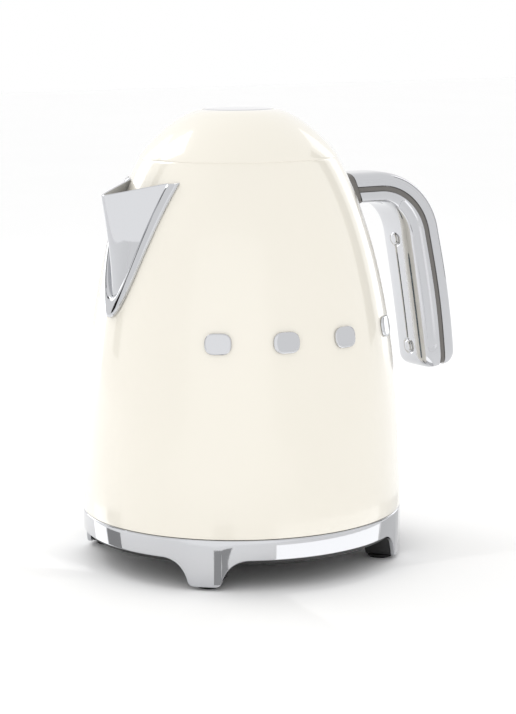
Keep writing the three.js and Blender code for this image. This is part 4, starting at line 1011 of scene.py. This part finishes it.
# ---- Plaques, water gauge and switch ---------------------------------------------------------
# Four plain plaques in a row round the side: brass pressed with rounded edges, chromed, and glued to
# the enamel.
plaque_z = foot + 100 * mm
for number, turn_degrees in enumerate([50, 75, 100, 131], 1):
    outline = rounded_box(0, plaque_z, 7 * mm, 5.4 * mm, 4 * mm, 10)
    stations = np.array([(0.3, 0), (1.0, 0), (1.3, 0.12), (1.5, 0.4), (1.6, 0.9)]) * mm
    blank = prism(outline, stations, on_body(math.pi + math.radians(turn_degrees)), caps=5)
    piece(surface(f"plaque_pressed_{number}", blank, chrome), "kettle", [f"plaque_{number}"])


# Clear SAN window behind a slot in the back, moulded with a polished face and a lip that the gasket
# presses on: it stands proud of the wall and tints to grey-blue.
def clear_plastic(name, colour, roughness):
    return finish(name, colour, roughness, IOR=1.56, Transmission_Weight=0.85,
                  bump=(("Noise", 90.0, 1.0), 0.03, 0.3 * mm))


san = clear_plastic("clear_moulded_san", "#d5dee2", 0.08)
pane = prism(rounded_box(0, gauge_z, 5 * mm, gauge_tall, 4.9 * mm, 10),
             [(-3 * mm, 0), (0.3 * mm, 0), (0.65 * mm, 0.15 * mm), (0.8 * mm, 0.6 * mm)], on_body(), caps=4)
lip = prism(rounded_box(0, gauge_z, 8 * mm, gauge_tall + 3 * mm, 7.9 * mm, 10),
            [(-3 * mm, 0), (-1.5 * mm, 0)], on_body(), caps=4)
piece(surface("gauge_pane", [pane, lip], san), "kettle", ["gauge_window"])

# Switch at the foot of the back: a chromed surround round a slot, an amber lamp above it, and a lever
# turned in one piece with its ball, on a pin through its eye.
bezel_low, bezel_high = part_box("switch_bezel")
bezel_z, bezel_tall = (bezel_low[2] + bezel_high[2]) / 2, (bezel_high[2] - bezel_low[2]) / 2
surround = hoop(rounded_box(0, bezel_z, 8 * mm, bezel_tall, 5 * mm, 8),
                rounded_box(0, switch_z, 4.7 * mm, 10.7 * mm, 1.9 * mm, 8), 0.3 * mm, 2 * mm, on_body())
plate = surface("switch_surround", surround, chrome)
lamp_low, lamp_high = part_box("pilot_lamp")
lamp_z = (lamp_low[2] + lamp_high[2]) / 2


def turned_x(grid, x, z):
    """Lays a lathe's grid down along the x axis."""
    return np.stack([x + grid[..., 2], grid[..., 0], z + grid[..., 1]], -1)


hole = lathe_grid(closed(np.array([(0.02, -9), (2.3, -9), (2.3, 9), (0.02, 9)]) * mm), 32)
cut(plate, turned_x(hole, lamp_low[0], lamp_z))
piece(plate, "kettle", ["switch_bezel"])
amber = clear_plastic("amber_moulded_polycarbonate", "#d0762f", 0.15)
dome = np.array([(0.02, 0), (2, 0), (2, 1.4), (1.7, 1.9), (1.0, 2.2), (0.02, 2.3)]) * mm
piece(surface("pilot_lamp_lens", turned_x(lathe_grid(closed(dome), 32), lamp_low[0], lamp_z), amber),
      "kettle", ["pilot_lamp"])
joints = {joint["name"]: joint for joint in frame["record"]["behaviour"]["joints"]}
pivot_x, pivot_z = joints["switch_tilt"]["pos_m"][0], switch_z + 3 * mm
knob_r = 4.6 * mm
knob_x = lever_high[0] - knob_r
ball = np.linspace(math.radians(150), 0, 24)
arm = np.concatenate([
    [(centre, pivot_x), (1.9 * mm, pivot_x), (1.9 * mm, knob_x - 12 * mm), (1.7 * mm, knob_x - 6 * mm)],
    np.stack([np.maximum(knob_r * np.sin(ball), centre), knob_x + knob_r * np.cos(ball)], 1)])
arm = turned_x(lathe_grid(closed(arm), 48), 0, pivot_z)
eye_outline = closed(filleted([(1.8 * mm, -3.2 * mm), (4 * mm, -3.2 * mm), (4 * mm, 3.2 * mm),
                               (1.8 * mm, 3.2 * mm)], 0.5 * mm))
eye_grid = lathe_grid(eye_outline, 48)
eye_grid = np.stack([pivot_x + eye_grid[..., 0], eye_grid[..., 2], pivot_z + eye_grid[..., 1]], -1)
piece(surface("switch_lever_turned", [arm, eye_grid], chrome), "switch", ["switch_lever"])

# ---- Lid -------------------------------------------------------------------------------------
# A spun steel dome in the same cream enamel, clipped to a grey moulding that carries the plug, the
# guide for the button, and the arm that turns on the hinge.
lid_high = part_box("lid_shell")[1][2]
button_low, button_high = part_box("lid_button")
button_r = button_high[0] + 0.7 * mm
lid_tall = lid_high - mouth
seam = 0.6 * mm
lid_curve = bezier((mouth_r, mouth + seam), (mouth_r - 5.2 * mm, mouth + 0.36 * lid_tall),
                   (button_r + 11 * mm, lid_high - 0.6 * mm), (button_r, lid_high), np.linspace(0, 1, 65))
lid = revolved("lid_dome_enamelled", shell_outline(lid_curve, 0, -1.6 * mm, 0.5 * mm), enamel, sides=256)
cut(lid, prism(rounded_box(0, mouth + seam, hinge_half + seam, knuckle_r, 0.8 * mm), through, facing_x()))
piece(lid, "lid", ["lid_shell"])

plug_low, plug_floor = mouth - 9 * mm, mouth - 7 * mm
seat_z, seat_top = mouth + 0.9 * mm, mouth + 2.9 * mm
edge_r, edge_top = np.interp([seat_z, seat_top], *moved(lid_curve, -1.9 * mm).T[::-1])
cup = lathe_grid(closed(filleted([
    (centre, plug_low), (plug_r, plug_low), (plug_r, seat_z), (edge_r, seat_z), (edge_top, seat_top),
    (plug_r - 2 * mm, seat_top), (plug_r - 2 * mm, plug_floor), (9 * mm, plug_floor),
    (9 * mm, mouth + 7 * mm), (7 * mm, mouth + 7 * mm), (7 * mm, plug_floor), (centre, plug_floor)],
    0.6 * mm)), 192)
a = np.linspace(-np.pi, np.pi * 0.5, 28)
eye_round = np.stack([hinge_x + knuckle_r * np.cos(a), hinge_z + knuckle_r * np.sin(a)], 1)
arm_outline = np.concatenate([[(plug_r, seat_z), (hinge_x - knuckle_r, seat_z)], eye_round[1:],
                              [(plug_r, hinge_z + knuckle_r)]])
hinge_arm = prism(arm_outline, edges(-arm_half, arm_half, 0.4 * mm), facing_y)
inner_cover = surface("lid_inner_moulding", [cup, hinge_arm], warm_grey)
piece(inner_cover, "lid", ["lid_inner_cover"])

# Push button: a turned brass disc, chromed, with a chamfered rim, flush with the crown. Its stem
# slides in the guide of the lid's moulding.
button_top = button_high[2]
button_outline = filleted([
    (centre, button_low[2]), (6.5 * mm, button_low[2]), (6.5 * mm, button_top - 3 * mm),
    (button_r - 0.8 * mm, button_top - 3 * mm), (button_r - 0.7 * mm, button_top - 0.5 * mm),
    (button_r - 2.5 * mm, button_top), (centre, button_top)],
    [0, 0.4 * mm, 0.4 * mm, 0.3 * mm, 0.8 * mm, 1.0 * mm, 0])
push = revolved("push_button_chromed", closed(button_outline), chrome, sides=128)
piece(push, "button", ["lid_button"])

# Button spring: drawn steel wire coiled five times between the guide's floor and the stem, which
# shortens as the button goes down.
spring_low, spring_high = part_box("button_spring")
wire_r, coils = 0.5 * mm, 5
coil_r, coil_tall = spring_high[1] - wire_r, spring_high[2] - spring_low[2] - 2 * wire_r
t, ring_angle = np.linspace(0, 1, 40 * coils + 1)[:, None], np.linspace(0, tau, 17)[None, :]
thick = wire_r * np.where((t > 0) & (t < 1), 1.0, 0.02)
out = coil_r + thick * np.cos(ring_angle)
coil = np.stack([out * np.cos(tau * coils * t), out * np.sin(tau * coils * t),
                 spring_low[2] + wire_r + coil_tall * t + thick * np.sin(ring_angle)], -1)
spring = piece(surface("button_spring_coiled", coil, steel), "lid", ["button_spring"])
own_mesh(spring)

# Latch: a bolt moulded in grey ABS that slides in a slot in the plug, with a slanted nose that rides
# over the keeper in the mouth's collar as the lid shuts.
latch_low, latch_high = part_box("lid_latch")
bolt = prism(rounded_box(0, (latch_low[2] + mouth - 3 * mm) / 2, 4 * mm, 1.5 * mm, 0.5 * mm),
             edges(-latch_high[0], -latch_low[0], 0.4 * mm), facing_x(math.pi))
wedge = prism([(latch_high[0] - 8 * mm, mouth - 3.5 * mm), (latch_high[0], mouth - 3.5 * mm),
               (latch_high[0], latch_high[2])], edges(-4 * mm, 4 * mm, 0.3 * mm), facing_y)
piece(surface("latch_bolt", [bolt, wedge], warm_grey), "latch", ["lid_latch"])
